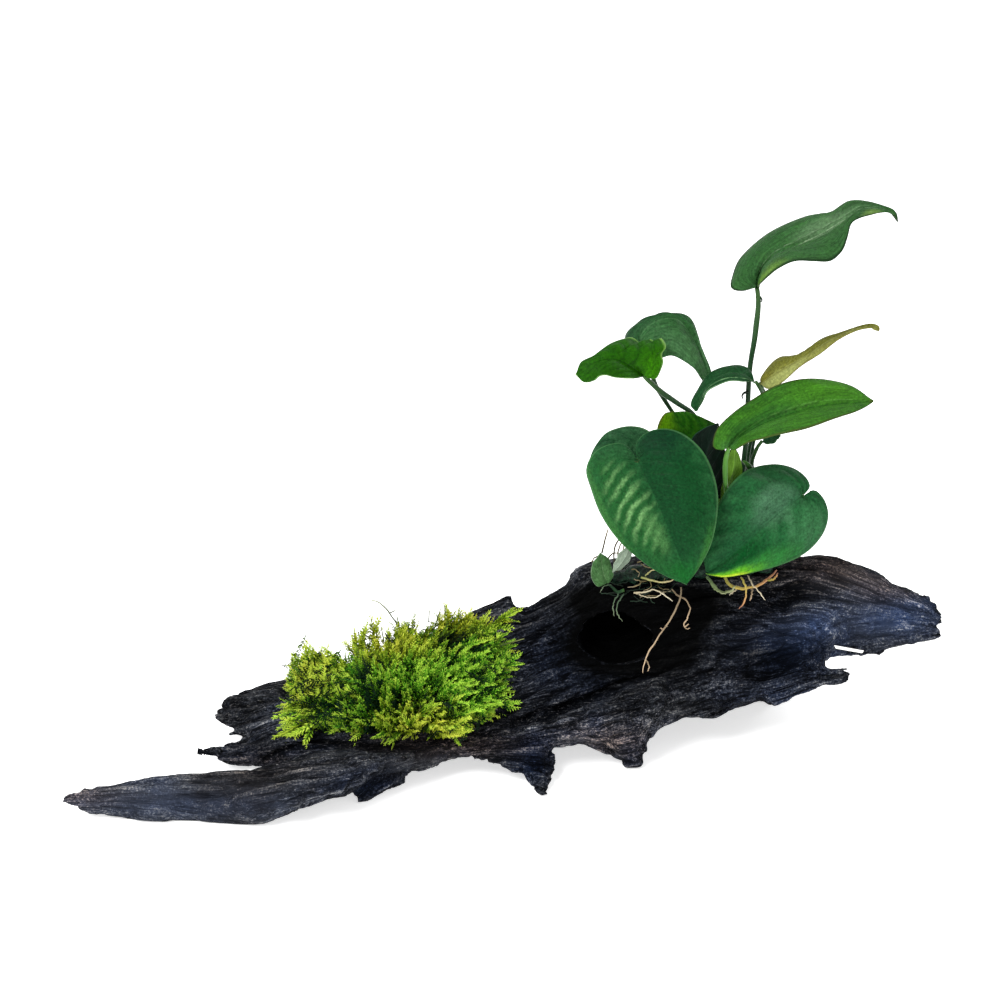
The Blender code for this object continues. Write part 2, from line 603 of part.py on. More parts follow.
LEAVES = {
    "leaf_top": dict(
        colour=green_leaf, lobe=0.0, arch=0.06,
        middle=[(757, 288, 84), (764, 268, 83), (778, 254, 82), (798, 245, 82), (820, 234, 83),
                (845, 219, 84),
                (862, 208, 86), (884, 209, 86), (897, 219, 86)],
        left=[(757, 288, 84), (743, 291, 78), (731, 288, 80), (733, 275, 88), (742, 256, 96),
              (768, 232, 102),
              (805, 217, 102), (828, 213, 100), (848, 200, 96), (868, 201, 92), (884, 206, 88),
              (897, 219, 86)],
        right=[(757, 288, 84), (759, 280, 74), (765, 271, 67), (774, 264, 63), (792, 260, 62),
               (812, 261, 61),
               (830, 260, 62), (841, 251, 66), (847, 238, 70), (853, 222, 76), (872, 214, 80),
               (897, 219, 86)],
    ),
    "leaf_back_left": dict(
        colour=dark_leaf, lobe=0.0, arch=0.08,
        middle=[(650, 352, 103), (640, 338, 103), (652, 323, 104), (675, 318, 104),
                (691, 334, 102), (702, 358, 98),
                (708, 376, 95), (708, 388, 94)],
        left=[(650, 352, 103), (628, 342, 108), (627, 333, 112), (642, 321, 114), (668, 313, 112),
              (690, 318, 108),
              (702, 346, 102), (711, 372, 97), (708, 388, 94)],
        right=[(650, 352, 103), (654, 360, 99), (662, 358, 96), (672, 356, 94), (684, 361, 92),
               (694, 369, 91),
               (701, 378, 92), (708, 388, 94)],
    ),
    "leaf_front_left": dict(
        colour=bright_leaf, lobe=0.0, arch=0.05,
        middle=[(644, 376, 82), (630, 366, 79), (614, 359, 77), (598, 361, 75), (584, 368, 74),
                (576, 373, 74)],
        left=[(644, 376, 82), (633, 379, 74), (617, 377, 70), (602, 376, 69), (592, 381, 70),
              (583, 382, 72),
              (576, 373, 74)],
        right=[(644, 376, 82), (655, 379, 80), (661, 372, 82), (666, 350, 88), (660, 340, 92),
               (646, 341, 92),
               (632, 338, 90), (612, 344, 86), (595, 354, 81), (581, 361, 77), (576, 373, 74)],
    ),
    "leaf_small_arched": dict(
        small=True, colour=dark_leaf, lobe=0.0, arch=0.05,
        middle=[(756, 382, 86), (745, 374, 85), (730, 372, 84), (714, 379, 83), (702, 393, 82),
                (696, 411, 82)],
        left=[(756, 382, 86), (750, 370, 90), (736, 365, 92), (720, 367, 91), (706, 377, 89),
              (695, 392, 86),
              (691, 405, 84), (696, 411, 82)],
        right=[(756, 382, 86), (746, 381, 80), (732, 381, 78), (718, 384, 77), (708, 391, 77),
               (702, 402, 79),
               (696, 411, 82)],
    ),
    "leaf_young_olive": dict(
        colour=olive_leaf, lobe=0.0, arch=0.05,
        middle=[(760, 383, 98), (772, 374, 98), (788, 365, 97), (806, 355, 97), (832, 338, 98),
                (856, 328, 99),
                (879, 328, 99)],
        left=[(760, 383, 98), (760, 377, 102), (769, 366, 106), (781, 357, 107), (798, 354, 106),
              (820, 340, 104),
              (843, 331, 102), (861, 325, 101), (879, 328, 99)],
        right=[(760, 383, 98), (768, 389, 93), (783, 381, 91), (800, 367, 92), (820, 353, 93),
               (838, 340, 95),
               (858, 330, 97), (879, 328, 99)],
    ),
    "leaf_right": dict(
        colour=bright_leaf, lobe=0.06, arch=0.05,
        middle=[(729, 447, 70), (744, 435, 72), (762, 424, 74), (786, 415, 76), (820, 406, 76),
                (873, 401, 73)],
        left=[(729, 447, 70), (722, 450, 68), (713, 446, 68), (717, 429, 73), (734, 412, 79),
              (752, 399, 84),
              (775, 386, 88), (803, 379, 91), (828, 379, 90), (852, 386, 84), (873, 401, 73)],
        right=[(729, 447, 70), (734, 450, 64), (748, 441, 60), (764, 438, 57), (782, 434, 55),
               (803, 428, 55),
               (828, 421, 58), (850, 413, 64), (866, 406, 70), (873, 401, 73)],
    ),
    "leaf_heart_front": dict(
        colour=green_leaf, lobe=0.24, arch=0.07,
        middle=[(637, 461, 68), (647, 481, 64), (658, 505, 60), (672, 539, 55), (683, 568, 52),
                (687, 584, 50)],
        left=[(635, 457, 69), (630, 448, 71), (620, 443, 72), (604, 446, 72), (592, 456, 71),
              (587, 470, 69),
              (592, 488, 67), (605, 514, 63), (625, 542, 58), (650, 565, 54), (672, 579, 51),
              (687, 584, 50)],
        right=[(637, 456, 69), (636, 444, 71), (644, 434, 73), (657, 429, 73), (674, 430, 72),
               (691, 439, 70),
               (706, 456, 67), (716, 482, 63), (718, 508, 59), (712, 542, 54), (699, 568, 51),
               (687, 584, 50)],
    ),
    "leaf_heart_right": dict(
        colour=dark_leaf, lobe=0.26, arch=0.07,
        middle=[(802, 497, 82), (788, 507, 78), (770, 522, 73), (748, 542, 67), (726, 560, 63),
                (706, 573, 61)],
        left=[(806, 495, 83), (810, 491, 84), (817, 491, 85), (825, 501, 85), (828, 517, 83),
              (822, 536, 79),
              (806, 553, 74), (780, 565, 69), (752, 573, 64), (728, 577, 61), (714, 576, 60),
              (706, 573, 61)],
        right=[(804, 493, 83), (810, 487, 85), (806, 477, 87), (794, 468, 88), (776, 464, 87),
               (755, 467, 84),
               (740, 475, 77), (724, 494, 71), (711, 520, 67), (703, 548, 63), (706, 573, 61)],
    ),
    "leaf_behind_left": dict(
        small=True, colour=dark_leaf, lobe=0.0, arch=0.05,
        middle=[(646, 470, 86), (634, 458, 86), (618, 452, 86), (602, 456, 86), (590, 474, 86)],
        left=[(646, 470, 86), (656, 452, 86), (650, 432, 87), (630, 426, 88), (609, 431, 88),
              (597, 443, 88),
              (590, 458, 87), (590, 474, 86)],
        right=[(646, 470, 86), (638, 482, 85), (622, 486, 85), (606, 486, 85), (590, 474, 86)],
    ),
    "leaf_centre_back": dict(
        small=True, colour=bright_leaf, lobe=0.0, arch=0.05,
        middle=[(700, 468, 93), (694, 448, 93), (686, 430, 92), (674, 412, 91)],
        left=[(700, 468, 93), (678, 462, 92), (660, 446, 91), (657, 430, 90), (664, 414, 90),
              (674, 412, 91)],
        right=[(700, 468, 93), (716, 452, 95), (721, 430, 96), (706, 419, 94), (688, 412, 92),
               (674, 412, 91)],
    ),
    "leaf_centre_dark": dict(
        small=True, colour=dark_leaf, lobe=0.0, arch=0.05,
        middle=[(712, 504, 84), (708, 478, 83), (706, 452, 83), (718, 424, 84)],
        left=[(712, 504, 84), (698, 488, 83), (690, 462, 82), (692, 438, 82), (704, 428, 83),
              (718, 424, 84)],
        right=[(712, 504, 84), (722, 494, 86), (720, 470, 86), (716, 448, 86), (718, 424, 84)],
    ),
    "leaf_young_upright": dict(
        small=True, colour=bright_leaf, lobe=0.0, arch=0.08,
        middle=[(719, 500, 80), (726, 486, 80), (732, 468, 80), (734, 446, 81)],
        left=[(719, 500, 80), (723, 488, 79), (727, 470, 78), (730, 456, 79), (734, 446, 81)],
        right=[(719, 500, 80), (730, 488, 82), (740, 478, 83), (741, 462, 83), (734, 446, 81)],
    ),
    "leaf_under_right": dict(
        small=True, colour=dark_leaf, lobe=0.0, arch=0.04,
        middle=[(762, 441, 97), (768, 440, 97), (774, 438, 98), (780, 436, 98)],
        left=[(762, 441, 97), (766, 434, 100), (774, 432, 101), (780, 436, 98)],
        right=[(762, 441, 97), (767, 444, 95), (775, 442, 95), (780, 436, 98)],
    ),
    "leaflet_oval": dict(
        small=True, colour=green_leaf, lobe=0.0, arch=0.05,
        middle=[(608, 584, 84), (604, 574, 83), (602, 563, 83), (601, 553, 84)],
        left=[(608, 584, 84), (597, 585, 83), (591, 574, 82), (594, 562, 82), (601, 553, 84)],
        right=[(608, 584, 84), (612, 579, 85), (611, 569, 85), (607, 559, 85), (601, 553, 84)],
    ),
    "leaflet_folded": dict(
        small=True, colour=green_leaf, lobe=0.0, arch=0.04,
        middle=[(612, 571, 82), (619, 564, 81), (625, 555, 80), (629, 545, 80)],
        left=[(612, 571, 82), (615, 561, 80), (621, 551, 79), (629, 545, 80)],
        right=[(612, 571, 82), (622, 568, 83), (629, 560, 83), (632, 552, 82), (629, 545, 80)],
    ),
}


def blade_rows(shape, rows, columns):
    """Rows of points across a blade, each from the left margin over the midrib to the right one."""
    middle = smooth_line(shape["middle"], MIDRIB_STEPS)
    left = smooth_line(shape["left"], rows + 1)
    right = smooth_line(shape["right"], rows + 1)
    lobe = shape["lobe"]
    made = []
    for row in range(rows + 1):
        share = max(0.0, (row / rows - lobe) / (1.0 - lobe))
        centre = middle[round(share * (MIDRIB_STEPS - 1))]
        line = [left[row] + (centre - left[row]) * step / columns for step in range(columns)]
        line += [centre + (right[row] - centre) * step / columns for step in range(columns + 1)]
        made.append([in_view(*point) for point in line])
    return made


def arched(rows, arch, columns):
    """The rows with the middle of each half of the blade raised off its plane."""
    rows = np.array(rows)
    raised = rows.copy()
    for row in range(1, len(rows) - 1):
        across = rows[row, -1] - rows[row, 0]
        along = rows[row + 1, columns] - rows[row - 1, columns]
        upright = np.cross(across, along)
        length = np.linalg.norm(upright)
        if length < 1e-6:
            continue
        upright = upright / length * (1 if upright[2] > 0 else -1)
        for column in range(2 * columns + 1):
            place_in_half = (column % columns) / columns
            width = np.linalg.norm(rows[row, 0 if column < columns else -1] - rows[row, columns])
            raised[row, column] += upright * arch * width * math.sin(math.pi * place_in_half) * 2
    return raised


def add_blade(name, shape):
    count = SMALL_BLADE_ROWS if shape.get("small") else BLADE_ROWS
    rows = arched(blade_rows(shape, count, HALF_COLUMNS), shape["arch"], HALF_COLUMNS)
    width = 2 * HALF_COLUMNS + 1
    points = [place(point) for row in rows for point in row]
    faces = []
    for row in range(count):
        for column in range(width - 1):
            corner = row * width + column
            faces.append((corner, corner + 1, corner + width + 1, corner + width))
    mesh = bpy.data.meshes.new(name)
    mesh.from_pydata(points, [], faces)
    sheet = bmesh.new()
    sheet.from_mesh(mesh)
    bmesh.ops.remove_doubles(sheet, verts=sheet.verts, dist=0.0004)
    bmesh.ops.dissolve_degenerate(sheet, edges=sheet.edges, dist=0.0001)
    bmesh.ops.recalc_face_normals(sheet, faces=sheet.faces)
    sheet.to_mesh(mesh)
    sheet.free()
    blade = add_object(name, mesh, shape["colour"]())
    thick = blade.modifiers.new("thickness", "SOLIDIFY")
    thick.thickness = BLADE_THICKNESS * MM
    thick.offset = 0.0
    mesh.shade_smooth()
    return blade


# Strands: petioles, rhizome and roots are round rods along a line of the view

def add_strand(name, points, radii, colour, count, sides=1):
    line = smooth_line(points, count)
    thickness = smooth_line([(radius,) for radius in radii], count) if len(radii) > 1 else None
    curve = bpy.data.curves.new(name, "CURVE")
    curve.dimensions = "3D"
    curve.bevel_depth = MM
    curve.bevel_resolution = sides
    curve.use_fill_caps = True
    spline = curve.splines.new("POLY")
    spline.points.add(count - 1)
    for index, (point, knot) in enumerate(zip(line, spline.points)):
        knot.co = (*place(in_view(*point)), 1.0)
        knot.radius = radii[0] if thickness is None else thickness[index][0]
    made = bpy.data.objects.new(name, curve)
    bpy.context.scene.collection.objects.link(made)
    curve.materials.append(colour())
    return made


RHIZOME_LINE = [(612, 578), (640, 573), (672, 570), (705, 568), (742, 566), (780, 567)]


def rhizome_depth(across):
    return np.interp(across, [point[0] for point in RHIZOME_LINE],
                     [wood_depth(*point) - RHIZOME_CLEARANCE for point in RHIZOME_LINE])


def petiole_foot(across):
    """The place just above the rhizome where a petiole starts."""
    return (across, PETIOLE_FOOT_DOWN, rhizome_depth(across))


PETIOLES = {
    "petiole_top": (742, [(743, 520, 92), (742, 480, 93), (746, 440, 95), (748, 400, 96),
                          (750, 367, 95),
                          (755, 335, 91), (758, 310, 89), (758, 293, 88)]),
    "petiole_back_left": (716, [(716, 530, 101), (706, 490, 105), (690, 440, 104), (671, 410, 101),
                                (662, 396, 98), (655, 384, 98), (652, 368, 102)]),
    "petiole_front_left": (706, [(706, 520, 99), (706, 470, 101), (700, 430, 101), (693, 414, 98),
                                 (677, 403, 93), (660, 391, 88), (647, 381, 84)]),
    "petiole_small_arched": (752, [(750, 520, 100), (747, 480, 101), (749, 450, 101), (758, 420, 100),
                                   (764, 402, 97), (762, 394, 93), (757, 386, 89)]),
    "petiole_young_olive": (760, [(758, 520, 105), (752, 480, 105), (752, 450, 105), (760, 420, 105),
                                  (768, 402, 103), (764, 392, 101), (761, 387, 99.5)]),
    "petiole_right": (730, [(730, 538, 90), (729, 520, 83), (727, 500, 77), (725, 475, 74),
                            (726, 458, 73),
                            (728, 450, 72.5)]),
    "petiole_heart_front": (680, [(676, 530, 90), (664, 505, 84), (650, 482, 77), (641, 467, 71.5)]),
    "petiole_heart_right": (776, [(782, 535, 96), (796, 515, 90), (803, 500, 85.5)]),
    "petiole_behind_left": (660, [(656, 525, 94), (650, 495, 91), (647, 474, 87.5)]),
    "petiole_centre_back": (691, [(693, 520, 99), (699, 490, 97), (700, 472, 95)]),
    "petiole_centre_dark": (698, [(702, 535, 90), (710, 515, 87), (712, 507, 85.5)]),
    "petiole_young_upright": (722, [(721, 530, 88), (719, 512, 83), (719, 503, 81)]),
    "petiole_under_right": (767, [(766, 520, 102), (760, 490, 101), (752, 466, 98.5), (756, 450, 98),
                                  (761, 442, 97.5)]),
}

ROOTS = {
    "root_long": (root_skin, 12, (0.5, 0.7, 0.6),
                  [(681, 587, 84), (680, 597, 82), (675, 611, 80), (669, 622, 78), (661, 633, 74),
                   (652, 647, 70), (644, 661, 64), (643, 673, 60)]),
    "root_curled": (root_skin, 10, (0.5, 0.6, 0.5),
                    [(672, 589, 86), (678, 596, 84), (686, 600, 83), (690, 609, 81), (687, 619, 79),
                     (683, 627, 77), (689, 624, 76)]),
    "root_olive": (green_root, 7, (0.7, 0.8, 0.5),
                   [(643, 582, 85), (655, 584, 83), (666, 582, 82), (675, 579, 81)]),
    "root_white": (root_skin, 8, (0.7, 0.7, 0.4),
                   [(634, 593, 85), (645, 592, 84), (655, 590, 84), (666, 596, 82), (672, 601, 81)]),
    "root_left_long": (green_root, 7, (0.6, 0.5, 0.4),
                       [(620, 592, 86), (615, 600, 85), (613, 608, 84), (614, 616, 83)]),
    "root_left_short": (green_root, 7, (0.6, 0.5, 0.4),
                        [(624, 594, 85), (618, 604, 84), (617, 613, 83), (622, 621, 82)]),
    "root_loop": (green_root, 8, (1.0, 1.1, 0.9),
                  [(707, 582, 82), (713, 588, 80), (722, 593, 80), (731, 592, 80), (737, 596, 79)]),
    "root_main": (root_skin, 11, (0.9, 1.0, 0.9, 0.5),
                  [(725, 580, 84), (729, 584, 82), (737, 588, 81), (748, 588, 81), (759, 585, 82),
                   (768, 579, 84), (776, 572, 86)]),
    "root_hanging": (root_skin, 8, (0.6, 0.6, 0.4),
                     [(741, 584, 77), (745, 589, 77), (746, 597, 77), (744, 603, 77), (744, 609, 77)]),
    "root_hanging_white": (root_skin, 6, (0.6, 0.5, 0.3),
                           [(750, 583, 77), (756, 590, 77), (765, 600, 78)]),
    "root_hanging_short": (root_skin, 5, (0.6, 0.3), [(752, 592, 81), (752, 596, 81), (749, 602, 81)]),
    "root_pale": (root_skin, 5, (0.6, 0.3), [(736, 592, 84), (733, 594, 84), (729, 597, 84)]),
}


def build_plant():
    for name, shape in LEAVES.items():
        add_blade(name, shape)
    rhizome = [(across, down, rhizome_depth(across)) for across, down in RHIZOME_LINE]
    add_strand("rhizome", rhizome, RHIZOME_RADII, green_stalk, 16, sides=2)
    for name, (across, points) in PETIOLES.items():
        route = [petiole_foot(across), *points]
        add_strand(name, route, PETIOLE_RADII, green_stalk, len(route) + 2)
    for name, (colour, count, radii, points) in ROOTS.items():
        route = [(across, down, min(back, wood_depth(across, down) - ROOT_CLEARANCE))
                 for across, down, back in points]
        add_strand(name, route, radii, colour, count)
    add_strand("sheath", [(751, 470, 86), (747, 464, 86), (743, 461, 87)], (1.3, 0.6), bright_leaf, 5)
    add_strand("leaflet_stalk", [(612, 586, 85), (617, 591, 85),
                                 (622, 590, 86)], (0.6, 0.8), green_root, 5)


def main():
    for thing in list(bpy.data.objects):
        bpy.data.objects.remove(thing)
    whole = build_wood()
    build_moss(whole)
    build_plant()


main()
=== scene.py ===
# %% [markdown]
# # Anubias barteri and moss on driftwood
#
# A dark, damp piece of driftwood carries two plants. An anubias creeps over its right half with
# leathery heart-shaped leaves, and a cushion of moss covers its left half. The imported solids
# give every place and size. This lesson dresses them: grain and splits for the wood, thin veined
# blades for the leaves, hair-thin roots, and thousands of tiny sprigs for the moss.

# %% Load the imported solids
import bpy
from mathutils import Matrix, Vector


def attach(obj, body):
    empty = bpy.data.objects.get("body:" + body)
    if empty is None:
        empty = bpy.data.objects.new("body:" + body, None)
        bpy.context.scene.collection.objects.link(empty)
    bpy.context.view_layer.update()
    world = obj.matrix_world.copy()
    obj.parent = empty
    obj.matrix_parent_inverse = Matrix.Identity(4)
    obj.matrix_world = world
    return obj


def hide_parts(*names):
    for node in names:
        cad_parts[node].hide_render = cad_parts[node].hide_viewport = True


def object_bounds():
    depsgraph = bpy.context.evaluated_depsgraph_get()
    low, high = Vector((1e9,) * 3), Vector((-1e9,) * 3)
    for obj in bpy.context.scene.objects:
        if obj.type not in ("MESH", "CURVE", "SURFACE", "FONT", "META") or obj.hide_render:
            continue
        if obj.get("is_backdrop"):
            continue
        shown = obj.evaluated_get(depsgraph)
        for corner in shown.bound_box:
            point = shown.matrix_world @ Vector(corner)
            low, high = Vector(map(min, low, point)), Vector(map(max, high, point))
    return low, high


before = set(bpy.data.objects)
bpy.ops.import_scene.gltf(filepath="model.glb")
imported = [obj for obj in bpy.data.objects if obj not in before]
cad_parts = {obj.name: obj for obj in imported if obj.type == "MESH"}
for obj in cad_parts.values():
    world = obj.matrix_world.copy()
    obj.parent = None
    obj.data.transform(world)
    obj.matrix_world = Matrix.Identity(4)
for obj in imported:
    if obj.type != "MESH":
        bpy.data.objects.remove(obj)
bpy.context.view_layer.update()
print("solids loaded:", len(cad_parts), "nodes")

# %% [markdown]
# ## Measures
#
# Everything below is written in millimetres and turned into metres at the last moment. Places are
# easiest to read off a front view, so most points are written as (across, down, back): two
# places on a sheet of 1000 by 1000 steps, and how far behind the front edge the point lies. The
# view looks down at 25 degrees from 1250 mm away. Colours and small differences are placed the
# same way, as soft oval spots with a middle, a reach and a strength.

# %% The front view
import math
from contextlib import contextmanager

import bpy
import numpy as np
from mathutils import Matrix, Vector, noise
from mathutils.bvhtree import BVHTree

MM = 0.001
VIEW_TILT = math.radians(25.0)
VIEW_DISTANCE = 1250.0
VIEW_STEP = 0.45
SHEET = 1000
SHEET_MIDDLE = SHEET / 2
FRONT_EDGE = -72.0
VIEW_TARGET = np.array([-7.0, -2.0, 129.0])
TOWARD = np.array([0.0, -math.cos(VIEW_TILT), math.sin(VIEW_TILT)])
UPWARD = np.array([0.0, math.sin(VIEW_TILT), math.cos(VIEW_TILT)])
EYE = VIEW_TARGET + TOWARD * VIEW_DISTANCE
CURVE_STEPS = 16


def in_view(points):
    """Object millimetres of points (across, down, back) of the front view."""
    points = np.atleast_2d(np.array(points, float))
    steps_away = VIEW_DISTANCE / VIEW_STEP
    rays = UPWARD * (SHEET_MIDDLE - points[:, 1:2]) / steps_away - TOWARD
    rays[:, 0] = (points[:, 0] - SHEET_MIDDLE) / steps_away
    reach = (points[:, 2] + FRONT_EDGE - EYE[1]) / rays[:, 1]
    return EYE + rays * reach[:, None]


def on_sheet(points):
    """The front view's (across, down) of points in object millimetres."""
    offset = points - EYE
    scale = VIEW_DISTANCE / VIEW_STEP / -(offset @ TOWARD)
    return np.stack([SHEET_MIDDLE + offset[:, 0] * scale, SHEET_MIDDLE - (offset @ UPWARD) * scale], 1)


def spot(places, middle, reach):
    """1 in the middle of an oval spot of the front view, fading out around it."""
    return np.exp(-(((places - middle) / reach) ** 2).sum(1))


def all_spots(places, spots):
    return sum(strength * spot(places, middle, reach) for middle, reach, strength in spots)


def smooth_line(points, count):
    """Evenly spread points on a Catmull-Rom curve through the given ones."""
    points = np.array(points, float)
    ends = np.vstack([2 * points[0] - points[1], points, 2 * points[-1] - points[-2]])
    curve = []
    for index in range(len(points) - 1):
        a, b, c, d = ends[index:index + 4]
        for t in np.linspace(0.0, 1.0, CURVE_STEPS, endpoint=False):
            bend = (2 * a - 5 * b + 4 * c - d) * t * t + (3 * b - a - 3 * c + d) * t ** 3
            curve.append(0.5 * (2 * b + (c - a) * t + bend))
    curve = np.array(curve + [points[-1]])
    length = np.concatenate([[0.0], np.cumsum(np.linalg.norm(np.diff(curve, axis=0), axis=1))])
    wanted = np.linspace(0.0, length[-1], count)
    return np.stack([np.interp(wanted, length, axis) for axis in curve.T], 1)


def unit(vectors):
    return vectors / np.maximum(np.linalg.norm(vectors, axis=-1, keepdims=True), 1e-9)


print("the eye stands at", EYE.round(0), "mm")

# %% [markdown]
# ## Floor, light and camera
#
# The object is shown on plain white, so the floor is a broad pale sheet and the light is soft and
# comes from everywhere, with one large lamp above and in front of the wood to shape it.
# The camera stands where the front view was measured, so the picture can be checked against it.

# %% Stage
FLOOR_SIZE = 12.0
FLOOR_GLOW = 0.6
FILM_WIDTH = 36.0

bpy.ops.object.select_all(action="DESELECT")
bpy.ops.mesh.primitive_plane_add(size=FLOOR_SIZE, location=(0.0, 0.0, -0.0003))
floor = bpy.context.object
floor.name = "floor"
pale = bpy.data.materials.new("pale_floor")
pale.use_nodes = True
for socket, value in (("Base Color", (0.88, 0.88, 0.88, 1.0)), ("Roughness", 0.9),
                      ("Emission Color", (1.0, 1.0, 1.0, 1.0)), ("Emission Strength", FLOOR_GLOW)):
    pale.node_tree.nodes["Principled BSDF"].inputs[socket].default_value = value
floor.data.materials.append(pale)
floor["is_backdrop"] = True

world = bpy.data.worlds.new("soft_room")
world.use_nodes = True
world.node_tree.nodes["Background"].inputs["Color"].default_value = (1.0, 1.0, 1.0, 1.0)
world.node_tree.nodes["Background"].inputs["Strength"].default_value = 1.0
bpy.context.scene.world = world

for name, place, aim, size, power in (("key_lamp", (-0.75, -1.0, 1.5), (0.05, 0.0, 0.08), 0.8, 32.0),
                                      ("rim_lamp", (1.1, 0.9, 1.0), (0.05, 0.0, 0.1), 0.6, 8.0)):
    bpy.ops.object.light_add(type="AREA", location=place)
    lamp = bpy.context.object
    lamp.name = name
    lamp.data.shape = "DISK"
    lamp.data.size = size
    lamp.data.energy = power
    lamp.rotation_euler = (Vector(aim) - Vector(place)).to_track_quat("-Z", "Y").to_euler()

bpy.ops.object.camera_add(location=Vector(EYE * MM), rotation=(math.pi / 2 - VIEW_TILT, 0.0, 0.0))
camera = bpy.context.object
camera.data.sensor_width = FILM_WIDTH
camera.data.lens = FILM_WIDTH * VIEW_DISTANCE / (VIEW_STEP * SHEET)
bpy.context.scene.camera = camera
bpy.context.scene.view_settings.view_transform = "Standard"
print("camera at", [round(value, 3) for value in camera.location])

# %% [markdown]
# ## Writing materials
#
# A material is a small sum: noise times colour plus a mask. Wrapping a socket in a class lets
# that sum be written as it is thought, and every operator adds its own Math node.

# %% Sockets that can be counted with
OPERATORS = {"add": "ADD", "sub": "SUBTRACT", "mul": "MULTIPLY", "truediv": "DIVIDE", "pow": "POWER"}


class Value:
    """An output socket of a material, used like a number."""

    def __init__(self, finish, socket):
        self.finish = finish
        self.socket = socket

    def __abs__(self):
        return self.finish.math("ABSOLUTE", self)


def operator(operation, turned_round):
    """The method behind + or another sign; turned round where the socket stands on its right."""
    def method(value, other):
        pair = (other, value) if turned_round else (value, other)
        return value.finish.math(operation, *pair)
    return method


for word, operation in OPERATORS.items():
    setattr(Value, f"__{word}__", operator(operation, False))
    setattr(Value, f"__r{word}__", operator(operation, True))


class Finish:
    """A material with one Principled shader."""

    def __init__(self, name, **constants):
        self.material = bpy.data.materials.new(name)
        self.material.use_nodes = True
        self.tree = self.material.node_tree
        self.shader = self.tree.nodes["Principled BSDF"]
        for socket, value in constants.items():
            self.feed(self.shader.inputs[socket.replace("_", " ")], value)

    def feed(self, socket, value):
        if isinstance(value, Value):
            self.tree.links.new(value.socket, socket)
        elif isinstance(value, (tuple, list)) and len(value) == 3 and socket.type == "RGBA":
            socket.default_value = (*value, 1.0)
        else:
            socket.default_value = value

    def node(self, kind, output, settings=None, sockets=None):
        """Adds one node, sets it, feeds its sockets and gives back one of its outputs."""
        made = self.tree.nodes.new("ShaderNode" + kind)
        for name, value in (settings or {}).items():
            setattr(made, name, value)
        for name, value in (sockets or {}).items():
            self.feed(made.inputs[name], value)
        return Value(self, made.outputs[output])

    def math(self, operation, *values, clamp=False):
        settings = {"operation": operation, "use_clamp": clamp}
        return self.node("Math", 0, settings, dict(enumerate(values)))

    def clamped(self, value):
        return self.math("ADD", value, 0.0, clamp=True)

    def rise(self, value, low, high):
        """0 below low, 1 above high and smooth between them."""
        sockets = {"Value": value, "From Min": low, "From Max": high}
        return self.node("MapRange", 0, {"interpolation_type": "SMOOTHSTEP"}, sockets)

    def saw(self, value):
        """1 at every whole number and 0 halfway between two, in straight slopes."""
        return abs(self.math("FRACT", value) - 0.5) * 2.0

    def mix(self, share, first, second, how="MIX"):
        settings = {"data_type": "RGBA", "blend_type": how}
        return self.node("Mix", 2, settings, {0: share, 6: first, 7: second})

    def times(self, colour, factor, share=1.0):
        return self.mix(share, colour, factor, "MULTIPLY")

    def ramp(self, value, stops):
        made = self.node("ValToRGB", 0, {}, {0: value})
        steps = made.socket.node.color_ramp.elements
        while len(steps) < len(stops):
            steps.new(0.5)
        for step, (place, colour) in zip(steps, stops):
            step.position = place
            step.color = (*colour, 1.0)
        return made

    def attribute(self, name, output="Fac"):
        return self.node("Attribute", output, {"attribute_name": name})

    def stretched(self, vector, scale):
        return self.node("Mapping", 0, {}, {"Vector": vector, "Scale": scale})

    def cloud(self, scale, detail=3.0, roughness=0.55, vector=None):
        """Noise at the object's own places, or at those of another vector."""
        vector = vector or self.node("TexCoord", "Object")
        sockets = {"Vector": vector, "Scale": scale, "Detail": detail, "Roughness": roughness}
        return self.node("TexNoise", 0, {}, sockets)

    def split(self, vector, axis):
        return self.node("SeparateXYZ", axis, {}, {0: vector})

    def bump(self, height, strength, distance):
        sockets = {"Height": height, "Strength": strength, "Distance": distance}
        self.feed(self.shader.inputs["Normal"], self.node("Bump", 0, {}, sockets))

    def paint(self, colour, roughness):
        self.feed(self.shader.inputs["Base Color"], colour)
        self.feed(self.shader.inputs["Roughness"], roughness)


print("material tools ready")

# %% [markdown]
# ## Small helpers for pieces
#
# A finished piece rides on the object's one body, stands for its solid and takes its finish,
# when one is given.

# %% Finishing a piece
SEAM = 0.02


def only(*things):
    """Selects these objects alone and makes the first one active."""
    bpy.ops.object.select_all(action="DESELECT")
    for thing in things:
        thing.select_set(True)
    bpy.context.view_layer.objects.active = things[0]


@contextmanager
def edit_mode(thing):
    """Edit Mode on one object, with all of its mesh selected."""
    only(thing)
    bpy.ops.object.mode_set(mode="EDIT")
    bpy.ops.mesh.select_all(action="SELECT")
    yield
    bpy.ops.object.mode_set(mode="OBJECT")


def put_in_scene(name, mesh):
    placed = bpy.data.objects.new(name, mesh)
    bpy.context.scene.collection.objects.link(placed)
    return placed


def join_all(things, name):
    only(*things)
    if len(things) > 1:
        bpy.ops.object.join()
    things[0].name = name
    return things[0]


def apply_modifier(thing, kind, **settings):
    only(thing)
    made = thing.modifiers.new(kind.lower(), kind)
    for name, value in settings.items():
        setattr(made, name, value)
    bpy.ops.object.modifier_apply(modifier=made.name)


def read_vectors(owner, field):
    flat = np.empty(len(owner) * 3, np.float32)
    owner.foreach_get(field, flat)
    return flat.reshape(-1, 3).astype(float)


def coordinates(mesh):
    return read_vectors(mesh.vertices, "co") / MM


def set_coordinates(mesh, points):
    mesh.vertices.foreach_set("co", (np.asarray(points) * MM).astype(np.float32).ravel())
    mesh.update()


